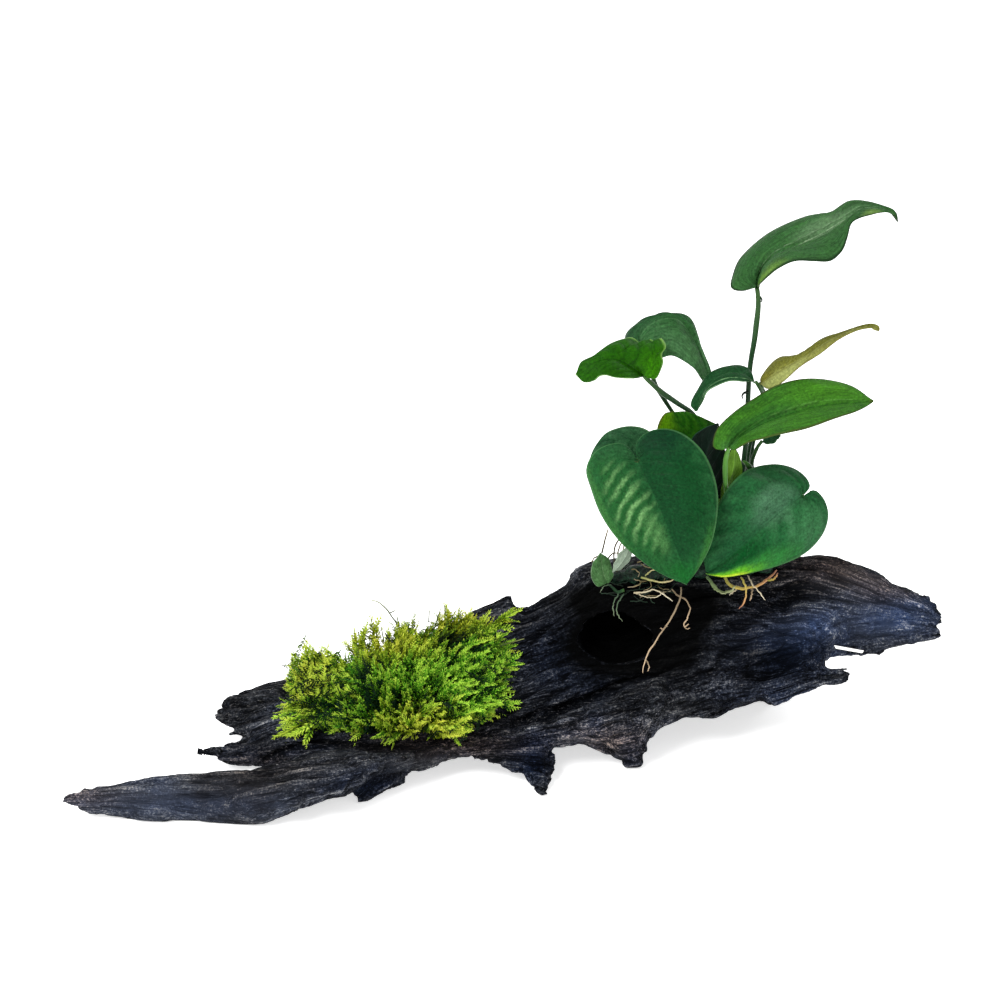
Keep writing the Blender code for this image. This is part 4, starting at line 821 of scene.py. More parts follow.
def leaf_upper(name, look):
    leaf = Finish("leaf_" + name, IOR=1.42, Specular_IOR_Level=0.06)
    uv = leaf.node("TexCoord", "UV")
    across, along = leaf.split(uv, 0), leaf.split(uv, 1)
    side = abs(across * 2.0 - 1.0)
    mottle = leaf.cloud(160.0, 4.0, 0.6)
    cells = leaf.cloud(850.0, 3.0, 0.75)
    wrinkle = leaf.cloud(420.0, 3.0, 0.6)
    phase = look["veins"] * (along - look["lean"] * side ** 1.3) + 0.9 * (mottle - 0.5) + 0.25 * (wrinkle - 0.5)
    between = leaf.saw(phase + 0.5)
    fine = leaf.saw(phase * 6.0)
    swell = leaf.rise(1.0 - between, 0.1, 0.95)
    tone = leaf.mix(leaf.rise(mottle, 0.3, 0.7), look["dark"], look["green"])
    # Lit green on the swells between the veins: painted highlights.
    tone = leaf.mix(look["bands"] * swell, tone, look["lit"])
    # Patches: some are the leaf's own colour, others painted sheen and painted shade.
    for middle, reach, colour, strength, *striped in look["patches"]:
        far_u, far_v = (across - middle[0]) / reach[0], (along - middle[1]) / reach[1]
        patch = 1.0 - leaf.rise((far_u * far_u + far_v * far_v) ** 0.5 + 0.6 * (mottle - 0.5), 0.25, 1.1)
        if striped:
            patch = patch * swell * swell * (0.4 + 1.7 * (wrinkle - 0.3))
        tone = leaf.mix(leaf.clamped(strength * patch), tone, colour)
    # Painted shade over the half beside the midrib.
    if look["rib_shade"]:
        colour, strength = look["rib_shade"]
        beside_rib = leaf.rise(across, 0.495, 0.512) * (1.0 - leaf.rise(across, 0.55, 0.85))
        beside_rib = beside_rib * leaf.rise(along, 0.2, 0.3) * (1.0 - leaf.rise(along, 0.8, 0.97))
        tone = leaf.mix(strength * beside_rib, tone, colour)
    tone = leaf.mix(look["vein"] * leaf.rise(between, 0.84, 0.98), tone, look["line"])
    tone = leaf.mix(look["fine"] * leaf.rise(fine, 0.6, 1.0), tone, look["line"])
    for place, width, colour, strength in look["streaks"]:
        streak = 1.0 - leaf.rise(abs(across + 0.03 * (wrinkle - 0.5) - place), 0.3 * width, width)
        tone = leaf.mix(strength * streak * leaf.rise(wrinkle, 0.3, 0.6), tone, colour)
    tone = leaf.mix(look["rib"] * (1.0 - leaf.rise(side, 0.01, 0.035)), tone, look["line"])
    tone = leaf.times(tone, 1.0 + GRAIN_CONTRAST * (cells - 0.5))
    long_streaks = leaf.cloud(1.0, 4.0, 0.7, leaf.stretched(uv, (34.0, 3.2, 1.0)))
    tone = leaf.times(tone, 1.0 + look["streaky"] * 2.0 * (long_streaks - 0.5))
    tone = leaf.times(tone, look["depth"])
    at_rim = leaf.rise(side, 1.0 - look["rim_width"], 1.0 - 0.35 * look["rim_width"])
    tone = leaf.mix(look["rim"] * at_rim, tone, look["edge"])
    leaf.paint(tone, leaf.clamped(look["rough"] + 0.3 * (mottle - 0.5)))
    leaf.bump(cells * 0.3 + wrinkle * 0.5 + fine * 0.15 - 0.4 * leaf.rise(between, 0.75, 1.0), 0.6, 0.0004)
    return leaf.material


def leaf_under(name, look):
    under = Finish("under_" + name, IOR=1.4, Specular_IOR_Level=0.1)
    uv = under.node("TexCoord", "UV")
    dull = under.cloud(260.0, 3.0, 0.6)
    green, shaded, lit = ([min(share * value + more, 1.0) for value in look["under"]]
                          for share, more in ((1.0, 0.0), (0.7, 0.0), (1.7, 0.002)))
    outer = abs(under.split(uv, 0) * 2.0 - 1.0)
    veins = under.saw(look["veins"] * (under.split(uv, 1) - look["lean"] * outer ** 1.3) + 0.5)
    raised = under.clamped(under.rise(veins, 0.82, 0.97) + 1.0 - under.rise(outer, 0.02, 0.05))
    tone = under.mix(under.rise(dull, 0.3, 0.7), green, shaded)
    under.paint(under.mix(0.5 * raised, tone, lit), 0.55 + 0.2 * (dull - 0.5))
    under.bump(0.3 * dull + 0.7 * raised, 0.5, 0.0004)
    return under.material


def leaf_finishes(name, look):
    return leaf_upper(name, look), leaf_under(name, look)


print("leaf finishes ready")

# %% [markdown]
# What one leaf has of its own is written over what is usual. A patch is a middle and a reach on
# the UV map, a colour and a strength; a streak is a place between the margins, a width, a colour
# and a strength. Many patches are painted sheen or painted shade, and rib_shade paints shade beside
# the midrib.

# %% Looks of the leaves
USUAL = dict(veins=6, lean=0.4, quilt=0.15, ruffle=0.4, arch=0.05, lobe=0.0, bands=0.25, vein=0.25, fine=0.18,
             rib=0.5, streaky=0.5, rough=0.45, rim=0.7, rim_width=0.045, depth=(0.7, 0.7, 0.7), rib_shade=None,
             patches=[], streaks=[])
GREEN = dict(USUAL, slot="green_leaf", green=(0.036, 0.13, 0.03), dark=(0.024, 0.095, 0.026),
             lit=(0.075, 0.19, 0.06), line=(0.1, 0.2, 0.09), edge=(0.008, 0.025, 0.008),
             under=(0.06, 0.13, 0.02))
DARK = dict(USUAL, slot="dark_leaf", green=(0.014, 0.085, 0.028), dark=(0.006, 0.05, 0.016),
            lit=(0.05, 0.15, 0.06), line=(0.05, 0.13, 0.06), edge=(0.1, 0.19, 0.09), under=(0.03, 0.08, 0.02))
BRIGHT = dict(USUAL, slot="bright_leaf", green=(0.05, 0.18, 0.012), dark=(0.03, 0.125, 0.01),
              lit=(0.075, 0.22, 0.02), line=(0.02, 0.09, 0.01), edge=(0.04, 0.06, 0.012),
              under=(0.1, 0.22, 0.02))
LOOKS = {
    # Top: the grey-green patch in the middle is a painted sheen.
    "top": dict(GREEN, green=(0.034, 0.13, 0.026), veins=11, lean=1.3, quilt=0.2, arch=0.06, bands=0.4,
        vein=0.35, fine=0.45, rib=0.2, streaky=1.0, rim=0.85, rim_width=0.08, depth=(0.5, 0.56, 0.5),
        patches=[((0.44, 0.56), (0.2, 0.24), (0.17, 0.27, 0.15), 0.6),
            ((0.2, 0.3), (0.24, 0.3), (0.02, 0.1, 0.02), 0.7),
            ((0.62, 0.2), (0.12, 0.16), (0.004, 0.05, 0.012), 0.8),
            ((1.0, 0.12), (0.2, 0.17), (0.17, 0.3, 0.04), 0.9),
            ((1.0, 0.84), (0.36, 0.07), (0.24, 0.38, 0.08), 0.8),
            ((0.8, 0.5), (0.2, 0.3), (0.03, 0.11, 0.03), 0.5),
            ((0.6, 0.99), (0.6, 0.05), (0.02, 0.02, 0.015), 0.9)],
        streaks=[(0.5, 0.012, (0.4, 0.5, 0.34), 0.8), (0.57, 0.01, (0.4, 0.5, 0.34), 0.6),
            (0.44, 0.008, (0.3, 0.4, 0.26), 0.5), (0.72, 0.01, (0.02, 0.07, 0.02), 0.6)]),
    # Back left: the dark patch on the far half is painted shade, the pale patches painted sheen and highlight.
    "back_left": dict(DARK, green=(0.04, 0.125, 0.042), dark=(0.022, 0.085, 0.03), lit=(0.12, 0.22, 0.11),
        line=(0.1, 0.2, 0.095), edge=(0.03, 0.09, 0.035), veins=10, lean=1.0, quilt=0.3, arch=0.08, fine=0.3,
        streaky=0.9, depth=(0.5, 0.62, 0.5),
        patches=[((0.15, 0.3), (0.4, 0.4), (0.006, 0.05, 0.016), 0.9),
            ((0.85, 0.6), (0.3, 0.4), (0.15, 0.26, 0.13), 0.2),
            ((0.3, 0.76), (0.1, 0.16), (0.2, 0.36, 0.2), 0.7),
            ((0.5, 0.5), (0.3, 0.26), (0.018, 0.085, 0.018), 0.6)]),
    "front_left": dict(BRIGHT, green=(0.03, 0.13, 0.004), line=(0.012, 0.055, 0.006), edge=(0.17, 0.3, 0.1),
        veins=7, quilt=0.25, ruffle=0.8, vein=0.22, rib=0.6, depth=(0.26, 0.45, 0.09),
        patches=[((0.85, 0.12), (0.3, 0.25), (0.09, 0.28, 0.006), 0.8),
            ((0.2, 0.6), (0.3, 0.4), (0.03, 0.115, 0.006), 0.6),
            ((1.0, 0.35), (0.04, 0.4), (0.6, 0.8, 0.5), 0.9)]),
    "small_arched": dict(DARK, green=(0.012, 0.07, 0.026), edge=(0.16, 0.28, 0.14), lean=1.0, fine=0.3,
        depth=(0.42, 0.56, 0.42),
        streaks=[(0.86, 0.03, (0.3, 0.45, 0.26), 0.8), (0.5, 0.02, (0.1, 0.2, 0.1), 0.5)]),
    "young_olive": dict(USUAL, slot="olive_leaf", green=(0.3, 0.31, 0.09), dark=(0.2, 0.18, 0.02),
        lit=(0.44, 0.44, 0.2), line=(0.46, 0.48, 0.26), edge=(0.2, 0.16, 0.05), under=(0.12, 0.12, 0.022),
        veins=16, lean=0.55, quilt=0.2, bands=0.6, vein=0.6, rough=0.5, depth=(0.58, 0.6, 0.4),
        patches=[((0.1, 0.45), (0.66, 0.8), (0.15, 0.15, 0.01), 0.95),
            ((0.85, 0.2), (0.3, 0.3), (0.5, 0.54, 0.26), 0.7),
            ((0.2, 0.06), (0.5, 0.08), (0.22, 0.2, 0.02), 0.8)]),
    "right": dict(BRIGHT, veins=9, lean=1.0, quilt=0.18, lobe=0.06, bands=0.2, vein=0.3, fine=0.3, rib=0.3,
        streaky=0.9, rim=0.85, rim_width=0.06, depth=(0.6, 0.66, 0.74),
        patches=[((0.42, 0.25), (0.2, 0.35), (0.026, 0.12, 0.014), 0.75),
            ((0.5, 0.04), (0.5, 0.12), (0.085, 0.25, 0.05), 0.7),
            ((0.25, 0.75), (0.3, 0.3), (0.08, 0.27, 0.012), 0.5),
            ((0.7, 0.3), (0.2, 0.2), (0.075, 0.23, 0.03), 0.5),
            ((0.5, 1.0), (0.5, 0.03), (0.12, 0.05, 0.02), 0.8)],
        streaks=[(0.5, 0.02, (0.02, 0.09, 0.012), 0.8), (0.43, 0.012, (0.12, 0.26, 0.05), 0.4),
            (0.6, 0.02, (0.02, 0.1, 0.012), 0.5)]),
    # Heart front: light comes from the left, so the right half and upper right are painted shade, with the rib
    # shade beside the midrib; the pale bands and patch on the left half are painted highlights.
    "heart_front": dict(DARK, slot="green_leaf", line=(0.012, 0.06, 0.018), edge=(0.07, 0.2, 0.07), veins=14,
        lean=0.25, quilt=0.5, arch=0.07, lobe=0.24, bands=0.12, vein=0.3, rib=0.0, streaky=0.3, rim=0.5,
        depth=(0.72, 0.76, 0.66), rib_shade=((0.003, 0.04, 0.012), 0.85),
        patches=[((0.22, 0.55), (0.32, 0.5), (0.013, 0.085, 0.02), 0.85),
            ((0.74, 0.5), (0.3, 0.5), (0.003, 0.046, 0.012), 0.9),
            ((0.97, 0.84), (0.12, 0.16), (0.04, 0.17, 0.03), 0.6),
            ((0.5, 0.97), (0.6, 0.16), (0.008, 0.12, 0.02), 0.75),
            ((0.5, 0.1), (0.6, 0.14), (0.022, 0.08, 0.032), 0.6),
            ((0.29, 0.5), (0.22, 0.3), (0.17, 0.34, 0.14), 0.9, True),
            ((0.38, 0.66), (0.11, 0.18), (0.09, 0.23, 0.08), 0.45),
            ((0.85, 0.2), (0.4, 0.2), (0.002, 0.028, 0.012), 0.85),
            ((0.5, 0.242), (0.05, 0.014), (0.05, 0.04, 0.02), 0.5),
            ((0.02, 0.5), (0.07, 0.3), (0.06, 0.2, 0.05), 0.45)]),
    # Heart right: the grey-green patches in the middle are painted sheen, and the rib shade is painted shade.
    "heart_right": dict(DARK, line=(0.02, 0.075, 0.03), edge=(0.05, 0.15, 0.05), veins=8, lean=0.25,
        quilt=0.4, arch=0.07, lobe=0.26, bands=0.2, vein=0.4, rib=0.2, rim=0.5, depth=(0.66, 0.84, 0.72),
        rib_shade=((0.012, 0.07, 0.03), 0.4),
        patches=[((0.62, 0.43), (0.22, 0.22), (0.1, 0.185, 0.12), 0.75),
            ((0.2, 0.34), (0.3, 0.2), (0.045, 0.14, 0.06), 0.7),
            ((0.36, 0.78), (0.34, 0.24), (0.001, 0.05, 0.01), 0.95),
            ((0.12, 0.7), (0.2, 0.3), (0.03, 0.17, 0.03), 0.7),
            ((0.9, 0.3), (0.15, 0.3), (0.022, 0.085, 0.036), 0.7),
            ((0.04, 0.86), (0.2, 0.22), (0.13, 0.36, 0.01), 0.95),
            ((0.0, 0.88), (0.1, 0.14), (0.6, 0.62, 0.03), 0.95),
            ((0.5, 0.42), (0.3, 0.16), (0.09, 0.19, 0.11), 0.4, True)]),
    "behind_left": dict(DARK, green=(0.03, 0.11, 0.042), fine=0.3),
    "centre_back": dict(BRIGHT, green=(0.014, 0.095, 0.006), dark=(0.01, 0.07, 0.004), depth=(0.7, 0.8, 0.5),
        patches=[((0.1, 0.75), (0.34, 0.4), (0.1, 0.23, 0.004), 0.85),
            ((0.02, 0.85), (0.05, 0.3), (0.1, 0.08, 0.01), 0.6)]),
    # Centre dark: near-black greens, painted shade for a leaf that lies in the shade of the others.
    "centre_dark": dict(DARK, green=(0.006, 0.022, 0.011), dark=(0.004, 0.014, 0.008),
        lit=(0.01, 0.04, 0.018), line=(0.01, 0.03, 0.014), edge=(0.01, 0.04, 0.02),
        under=(0.003, 0.01, 0.006), depth=(0.6, 0.6, 0.6),
        patches=[((0.5, 0.98), (0.6, 0.1), (0.02, 0.12, 0.02), 0.8)]),
    "young_upright": dict(BRIGHT, green=(0.045, 0.165, 0.012), veins=5, lean=0.7, quilt=0.1, arch=0.08,
        patches=[((0.85, 0.6), (0.2, 0.5), (0.11, 0.27, 0.03), 0.8)]),
    "under_right": dict(DARK, veins=4, lean=0.5, quilt=0.1),
    "oval": dict(GREEN, green=(0.062, 0.155, 0.05), dark=(0.04, 0.12, 0.034), line=(0.16, 0.27, 0.13),
        edge=(0.2, 0.3, 0.18), veins=5, lean=0.5, quilt=0.08, rough=0.5),
    "folded": dict(GREEN, green=(0.25, 0.31, 0.23), dark=(0.17, 0.22, 0.15), lit=(0.34, 0.4, 0.32),
        line=(0.14, 0.2, 0.13), edge=(0.26, 0.33, 0.24), under=(0.22, 0.28, 0.21), veins=4, lean=0.6,
        quilt=0.05, rough=0.5),
}
print("looks written for", len(LOOKS), "leaves")

# %% All blades
for name, lines in LINES.items():
    node = ("leaflet_" if name in ("oval", "folded") else "leaf_") + name
    finish_piece(model_blade(name, lines, LOOKS[name]), None, LOOKS[name]["slot"], node)

# %% [markdown]
# ## Stalks, rhizome and roots
#
# All of these are round in section and change thickness along their way, so each one is a path
# curve with a bevel, turned into a mesh once its shape is right. A ray from the eye finds the
# wood below every point, so that a root lies on the wood instead of sinking into it. A slight
# waver keeps them from looking ruled. It comes from seeded noise, so it is the same in each run.

# %% Round strands
ROD_SEAM = 0.01
WAVER_SEED = 3
noise.seed_set(WAVER_SEED)
wood_tree = BVHTree.FromObject(driftwood, bpy.context.evaluated_depsgraph_get())


def clear_of_wood(points, clearance):
    """Points of the front view as object millimetres, each kept in front of the wood."""
    placed = in_view(points)
    for index, point in enumerate(placed):
        ray = point - EYE
        distance = np.linalg.norm(ray)
        ray = ray / distance
        hit, _, _, reach = wood_tree.ray_cast(Vector(EYE * MM), Vector(ray))
        if hit is not None and reach / MM < distance + clearance:
            placed[index] = EYE + ray * (reach / MM - clearance)
    return placed


def strand(name, line, radii, sides=3):
    """A closed round rod along millimetre points, with how far along it each point lies."""
    only(floor)
    bpy.ops.curve.primitive_nurbs_path_add()
    rod = bpy.context.object
    spline = rod.data.splines[0]
    spline.type = "POLY"
    spline.points.add(len(line) - len(spline.points))
    share = np.linspace(0.0, 1.0, len(line))
    for knot, point, radius in zip(spline.points, line, np.interp(share, np.linspace(0.0, 1.0, len(radii)), radii)):
        knot.co = (*(point * MM), 1.0)
        knot.radius = radius
    rod.data.bevel_depth = MM
    rod.data.bevel_resolution = sides
    rod.data.use_fill_caps = True
    bpy.ops.object.convert(target="MESH")
    rod = bpy.context.object
    rod.name = name
    with edit_mode(rod):
        bpy.ops.mesh.remove_doubles(threshold=ROD_SEAM * MM)
    nearest = np.linalg.norm(coordinates(rod.data)[:, None] - line[None], axis=2).argmin(1)
    write_attribute(rod.data, "along", nearest / (len(line) - 1))
    bpy.ops.object.shade_smooth()
    return rod


def wavering(points, count, wobble=0.0, seed=0.0):
    """A smooth line with a slight natural waver."""
    line = smooth_line(points, count)
    for index in range(count if wobble else 0):
        line[index] += np.array(noise.noise_vector((index * 0.35 + seed, seed * 3.1, 0.7))) * wobble
    return line


print("strand tools ready")

# %% Stalk and root finishes
FRESH_STALKS = ("right", "young_upright", "centre_back")


def stalk_finish(name, stops):
    stalk = Finish(name, IOR=1.4, Specular_IOR_Level=0.2)
    skin = stalk.cloud(900.0, vector=stalk.stretched(stalk.node("TexCoord", "Object"), (1.0, 1.0, 0.12)))
    tone = stalk.ramp(stalk.clamped(stalk.attribute("along") + 0.35 * (skin - 0.5)), stops)
    stalk.paint(tone, 0.38 + 0.2 * (skin - 0.5))
    stalk.bump(skin, 0.3, 0.0003)
    return stalk.material


def root_finish(name, young, middle, old, halfway=0.5, *more):
    root = Finish(name, IOR=1.4, Specular_IOR_Level=0.25)
    speckle = root.cloud(700.0, 4.0, 0.65)
    stops = [(0.0, young), (halfway, middle), *more, (1.0, old)]
    tone = root.ramp(root.clamped(root.attribute("along") + 0.5 * (speckle - 0.5)), stops)
    tone = root.mix(root.rise(speckle, 0.62, 0.78) * 0.45, tone, (0.07, 0.035, 0.015))
    root.paint(tone, 0.5 + 0.3 * (speckle - 0.5))
    root.bump(speckle, 0.5, 0.0004)
    return root.material


STALK = stalk_finish("smooth_green_stalk", [(0.0, (0.006, 0.018, 0.008)), (0.4, (0.008, 0.03, 0.011)),
                                            (0.8, (0.012, 0.042, 0.014)), (1.0, (0.03, 0.08, 0.018))])
FRESH = stalk_finish("fresh_green_stalk", [(0.0, (0.006, 0.018, 0.008)), (0.45, (0.016, 0.06, 0.01)),
                                           (0.7, (0.04, 0.14, 0.018)), (1.0, (0.08, 0.22, 0.035))])
GREY_GREEN = root_finish("grey_green_root", (0.03, 0.055, 0.03), (0.07, 0.11, 0.06), (0.17, 0.21, 0.13))
TAN = root_finish("tan_root", (0.17, 0.13, 0.08), (0.33, 0.24, 0.15), (0.55, 0.40, 0.26))
AMBER = root_finish("amber_root", (0.30, 0.28, 0.06), (0.48, 0.36, 0.08), (0.36, 0.16, 0.10), 0.35,
                    (0.7, (0.50, 0.26, 0.11)))
WHITE = root_finish("white_root", (0.36, 0.31, 0.2), (0.52, 0.45, 0.31), (0.68, 0.61, 0.45), 0.6)
PALE_GREEN = root_finish("pale_green_root", (0.08, 0.13, 0.05), (0.17, 0.22, 0.09), (0.34, 0.36, 0.2))
OLIVE = root_finish("olive_root", (0.2, 0.22, 0.06), (0.4, 0.36, 0.16), (0.45, 0.36, 0.2))
DARK_THREAD = root_finish("dark_thread", (0.003, 0.008, 0.004), (0.008, 0.018, 0.010), (0.02, 0.045, 0.025), 0.6)
TAN_THREAD = root_finish("tan_thread", (0.10, 0.08, 0.03), (0.24, 0.19, 0.10), (0.36, 0.3, 0.2), 0.6)
BROWN_THREAD = root_finish("brown_thread", (0.02, 0.018, 0.008), (0.07, 0.055, 0.022), (0.17, 0.13, 0.06), 0.6)
MOSS_WISP = root_finish("moss_wisp", (0.02, 0.04, 0.008), (0.06, 0.08, 0.015), (0.2, 0.22, 0.08))
print("stalk and root finishes ready")

# %% Rhizome
RHIZOME = [(612, 578), (640, 573), (672, 570), (705, 568), (742, 566), (780, 567)]
RHIZOME_RADII = (2.7, 4.5, 4.05, 4.5, 4.3, 2.7)
RHIZOME_STEPS = 90
RHIZOME_CLEARANCE = 4.2
FAR_BACK = 200.0

knobbly = Finish("knobbly_rhizome", IOR=1.4, Specular_IOR_Level=0.2)
lumps = knobbly.cloud(420.0, 4.0, 0.6)
knobbly.paint(knobbly.ramp(lumps, [(0.35, (0.001, 0.004, 0.003)), (0.52, (0.004, 0.014, 0.008)),
                                   (0.66, (0.012, 0.04, 0.022)), (0.85, (0.09, 0.09, 0.04))]),
              0.35 + 0.3 * (lumps - 0.4))
knobbly.bump(lumps, 0.8, 0.0012)

laid = clear_of_wood(smooth_line([(*place, FAR_BACK) for place in RHIZOME], RHIZOME_STEPS), RHIZOME_CLEARANCE)
rhizome_line = smooth_line(laid[::12], RHIZOME_STEPS)
share = np.linspace(0.0, 1.0, RHIZOME_STEPS)
swelling = np.interp(share, np.linspace(0.0, 1.0, len(RHIZOME_RADII)), RHIZOME_RADII)
swelling = swelling * (1.0 + 0.12 * np.sin(60.0 * share))
rhizome = strand("rhizome_stem", rhizome_line, swelling, sides=8)
body = coordinates(rhizome.data)
normals = read_vectors(rhizome.data.vertex_normals, "vector")
set_coordinates(rhizome.data, body + normals * 0.9 * field(body, 5.0, 5.0, 3, 2.2)[:, None])
finish_piece(rhizome, knobbly.material, "green_stalk", "rhizome")


def rhizome_at(across):
    """The point of the rhizome's middle line at a place of the view."""
    return rhizome_line[np.abs(on_sheet(rhizome_line)[:, 0] - across).argmin()]


# %% [markdown]
# Every leaf stalk starts at a place of the rhizome, written as how far across it lies, and ends
# where its blade's midrib begins. It is thickest at its foot.

# %% Leaf stalks
STALKS = {
    "top": (742, [(743, 520, 92), (742, 480, 93), (746, 440, 95), (748, 400, 96), (750, 367, 95),
        (755, 335, 91), (758, 310, 88), (758, 296, 86), (757, 288, 84)]),
    "back_left": (716, [(716, 530, 101), (706, 490, 105), (690, 440, 104), (671, 410, 101), (662, 396, 98),
        (655, 384, 98), (651, 366, 102), (650, 352, 103.5)]),
    "front_left": (706, [(706, 520, 99), (706, 470, 101), (700, 430, 101), (693, 414, 98), (677, 403, 93),
        (660, 391, 88), (650, 382, 84), (644, 376, 81.5)]),
    "small_arched": (752, [(750, 520, 100), (747, 480, 101), (749, 450, 101), (758, 420, 100), (764, 402, 97),
        (762, 392, 91), (756, 382, 86.5)]),
    "young_olive": (760, [(758, 520, 105), (752, 480, 105), (752, 450, 105), (760, 420, 105), (768, 402, 103),
        (764, 392, 101), (760, 383, 98.5)]),
    "right": (730, [(730, 538, 90), (729, 520, 83), (727, 500, 77), (725, 475, 74), (726, 458, 72),
        (729, 447, 70.5)]),
    "heart_front": (680, [(676, 530, 90), (664, 505, 84), (650, 482, 77), (641, 467, 71), (637, 461, 68.5)]),
    "heart_right": (776, [(782, 535, 96), (796, 515, 90), (802, 502, 85), (802, 497, 82.5)]),
    "behind_left": (660, [(656, 525, 94), (650, 495, 91), (646, 470, 86.5)]),
    "centre_back": (691, [(693, 520, 99), (699, 490, 97), (700, 468, 93.5)]),
    "centre_dark": (698, [(702, 535, 90), (710, 515, 87), (712, 504, 84.5)]),
    "young_upright": (722, [(721, 530, 88), (719, 512, 83), (719, 500, 80.5)]),
    "under_right": (767, [(766, 520, 102), (760, 490, 101), (752, 466, 98.5), (756, 450, 98),
        (762, 441, 97.2)]),
}
STALK_STEPS = 44
STALK_RADII = np.array([1.6, 1.15, 1.0, 0.95, 0.9, 0.9, 1.05, 0.8])
THICKER = {"top": 1.3, "front_left": 1.25, "right": 1.15, "back_left": 1.05}
for name, (foot, places) in STALKS.items():
    line = wavering(np.vstack([rhizome_at(foot)[None], in_view(places)]), STALK_STEPS, 0.12, len(name))
    rod = strand("stalk_" + name, line, STALK_RADII * THICKER.get(name, 1.0))
    finish_piece(rod, FRESH if name in FRESH_STALKS else STALK, "green_stalk", "petiole_" + name)

# %% [markdown]
# A root is a main way over the wood and, with some, thinner side roots. Its thickness is given in
# tenths of its node's, and it tapers towards its tip.

# %% Roots
ROOTS = {
    "root_long": (TAN, 0.55, [[(681, 587, 84), (680, 597, 82), (675, 611, 80), (669, 622, 78), (661, 633, 74),
                              (652, 647, 70), (645, 659, 64), (643, 673, 60)],
                             [(646, 659, 64), (649, 666, 62), (648, 671, 60)],
                             [(667, 626, 77), (663, 629, 74), (661, 628, 72)]]),
    "root_curled": (TAN, 0.5, [[(672, 589, 86), (678, 596, 84), (686, 600, 83), (690, 609, 81), (687, 619, 79),
                               (683, 627, 77), (689, 624, 76)], [(684, 626, 77), (687, 629, 76), (690, 628, 75)]]),
    "root_olive": (OLIVE, 0.65, [[(641, 577, 85), (655, 581, 83), (666, 582, 82), (675, 579, 81)],
                                 [(645, 576, 84), (651, 571, 83), (658, 569, 82)]]),
    "root_white": (WHITE, 0.5, [[(634, 593, 85), (645, 592, 84), (655, 590, 84), (666, 596, 82), (672, 601, 81)],
                                [(634, 592, 85), (646, 597, 84), (656, 597, 83), (664, 592, 82)]]),
    "root_left_long": (GREY_GREEN, 0.42, [[(620, 592, 86), (615, 600, 85), (613, 608, 84), (614, 616, 83)],
                                         [(612, 585, 84), (604, 586, 83), (600, 593, 82)]]),
    "root_left_short": (GREY_GREEN, 0.42, [[(624, 594, 85), (618, 604, 84), (617, 613, 83), (622, 621, 82)]]),
    "root_loop": (PALE_GREEN, 1.0, [[(707, 576, 82), (713, 585, 80), (722, 592, 80), (731, 591, 80),
                                     (735, 586, 79)],
                                    [(709, 580, 81), (716, 590, 79), (726, 594, 79)]]),
    "root_main": (AMBER, 0.95, [[(725, 577, 84), (729, 584, 82), (737, 588, 81), (748, 588, 81), (759, 585, 82),
                                (768, 579, 84), (777, 570, 86)], [(768, 580, 83), (774, 579, 83), (778, 573, 84)]]),
    "root_hanging": (AMBER, 0.6, [[(741, 577, 79), (744, 583, 77), (746, 592, 77), (745, 601, 77),
                                   (739, 609, 77)]]),
    "root_hanging_white": (WHITE, 0.42, [[(748, 575, 80), (752, 584, 77), (759, 592, 77), (765, 600, 78)]]),
    "root_hanging_short": (TAN, 0.5, [[(752, 588, 81), (752, 594, 81), (750, 601, 81)]]),
    "root_pale": (WHITE, 0.45, [[(737, 589, 84), (733, 592, 84), (730, 595, 84)]]),
}
ROOT_STEPS = 36
ROOT_TAPER = np.array([1.0, 1.15, 0.8, 1.0, 0.4])
ROOT_SLIMNESS = 0.72
SIDE_ROOT = 0.6
for number, (name, (finish, thick, branches)) in enumerate(ROOTS.items()):
    rods = []
    for index, places in enumerate(branches):
        line = clear_of_wood(smooth_line(places, 12), thick + 0.25)
        radii = ROOT_SLIMNESS * thick * ROOT_TAPER * (SIDE_ROOT if index else 1.0)
        rods.append(strand("rod", wavering(line, ROOT_STEPS, 0.5, number + 0.4 * index), radii, sides=2))
    slot = "green_root" if finish in (PALE_GREEN, GREY_GREEN, OLIVE) else "root_skin"
    finish_piece(join_all(rods, name + "_fine"), finish, slot, name)

# %% [markdown]
# Round the rhizome's left end lies a tangle of old dark roots and threads. Each thread is a thin
# strand along a wavering way over the wood. Loops of old fibre stand up behind it, and two small
# spurs stay on the tall stalk.

# %% Tangle of old threads
TANGLE_COUNT = 46
TANGLE_FIELD = ((613, 560), (668, 598))
THREAD_STEPS = 14
FRONT_OF_STEM = 4.0
STEM_START = 612
tangle_dice = np.random.default_rng(5)


def thread_back(across):
    """The depth just in front of the rhizome, so that no thread floats before it."""
    return rhizome_at(across)[1] - FRONT_EDGE - FRONT_OF_STEM


dark_rods, tan_rods = [], []
for number in range(TANGLE_COUNT):
    start = tangle_dice.uniform(*TANGLE_FIELD)
    heading = tangle_dice.normal(0.0, 0.5) + (math.pi if number % 2 else 0.0)
    places = [(*start, thread_back(start[0]))]
    for _ in range(3):
        heading += tangle_dice.normal(0.0, 0.6)
        reach = tangle_dice.uniform(4.0, 8.0)
        across, down, _ = places[-1]
        across, down = across + reach * math.cos(heading), down + 0.55 * reach * math.sin(heading)
        places.append((across, down, thread_back(across)))
    thick = tangle_dice.uniform(0.16, 0.38)
    near = clear_of_wood(smooth_line(places, 8), tangle_dice.uniform(0.3, 4.0))
    line = wavering(near, THREAD_STEPS, 0.5, number * 1.7)
    rod = strand("rod", line, (thick, thick, thick * 0.4), sides=1)
    (tan_rods if number % 5 == 0 else dark_rods).append(rod)
finish_piece(join_all(dark_rods, "dark_threads"), DARK_THREAD, "root_skin", "rhizome")
finish_piece(join_all(tan_rods, "tan_threads"), TAN_THREAD, "root_skin", "rhizome")

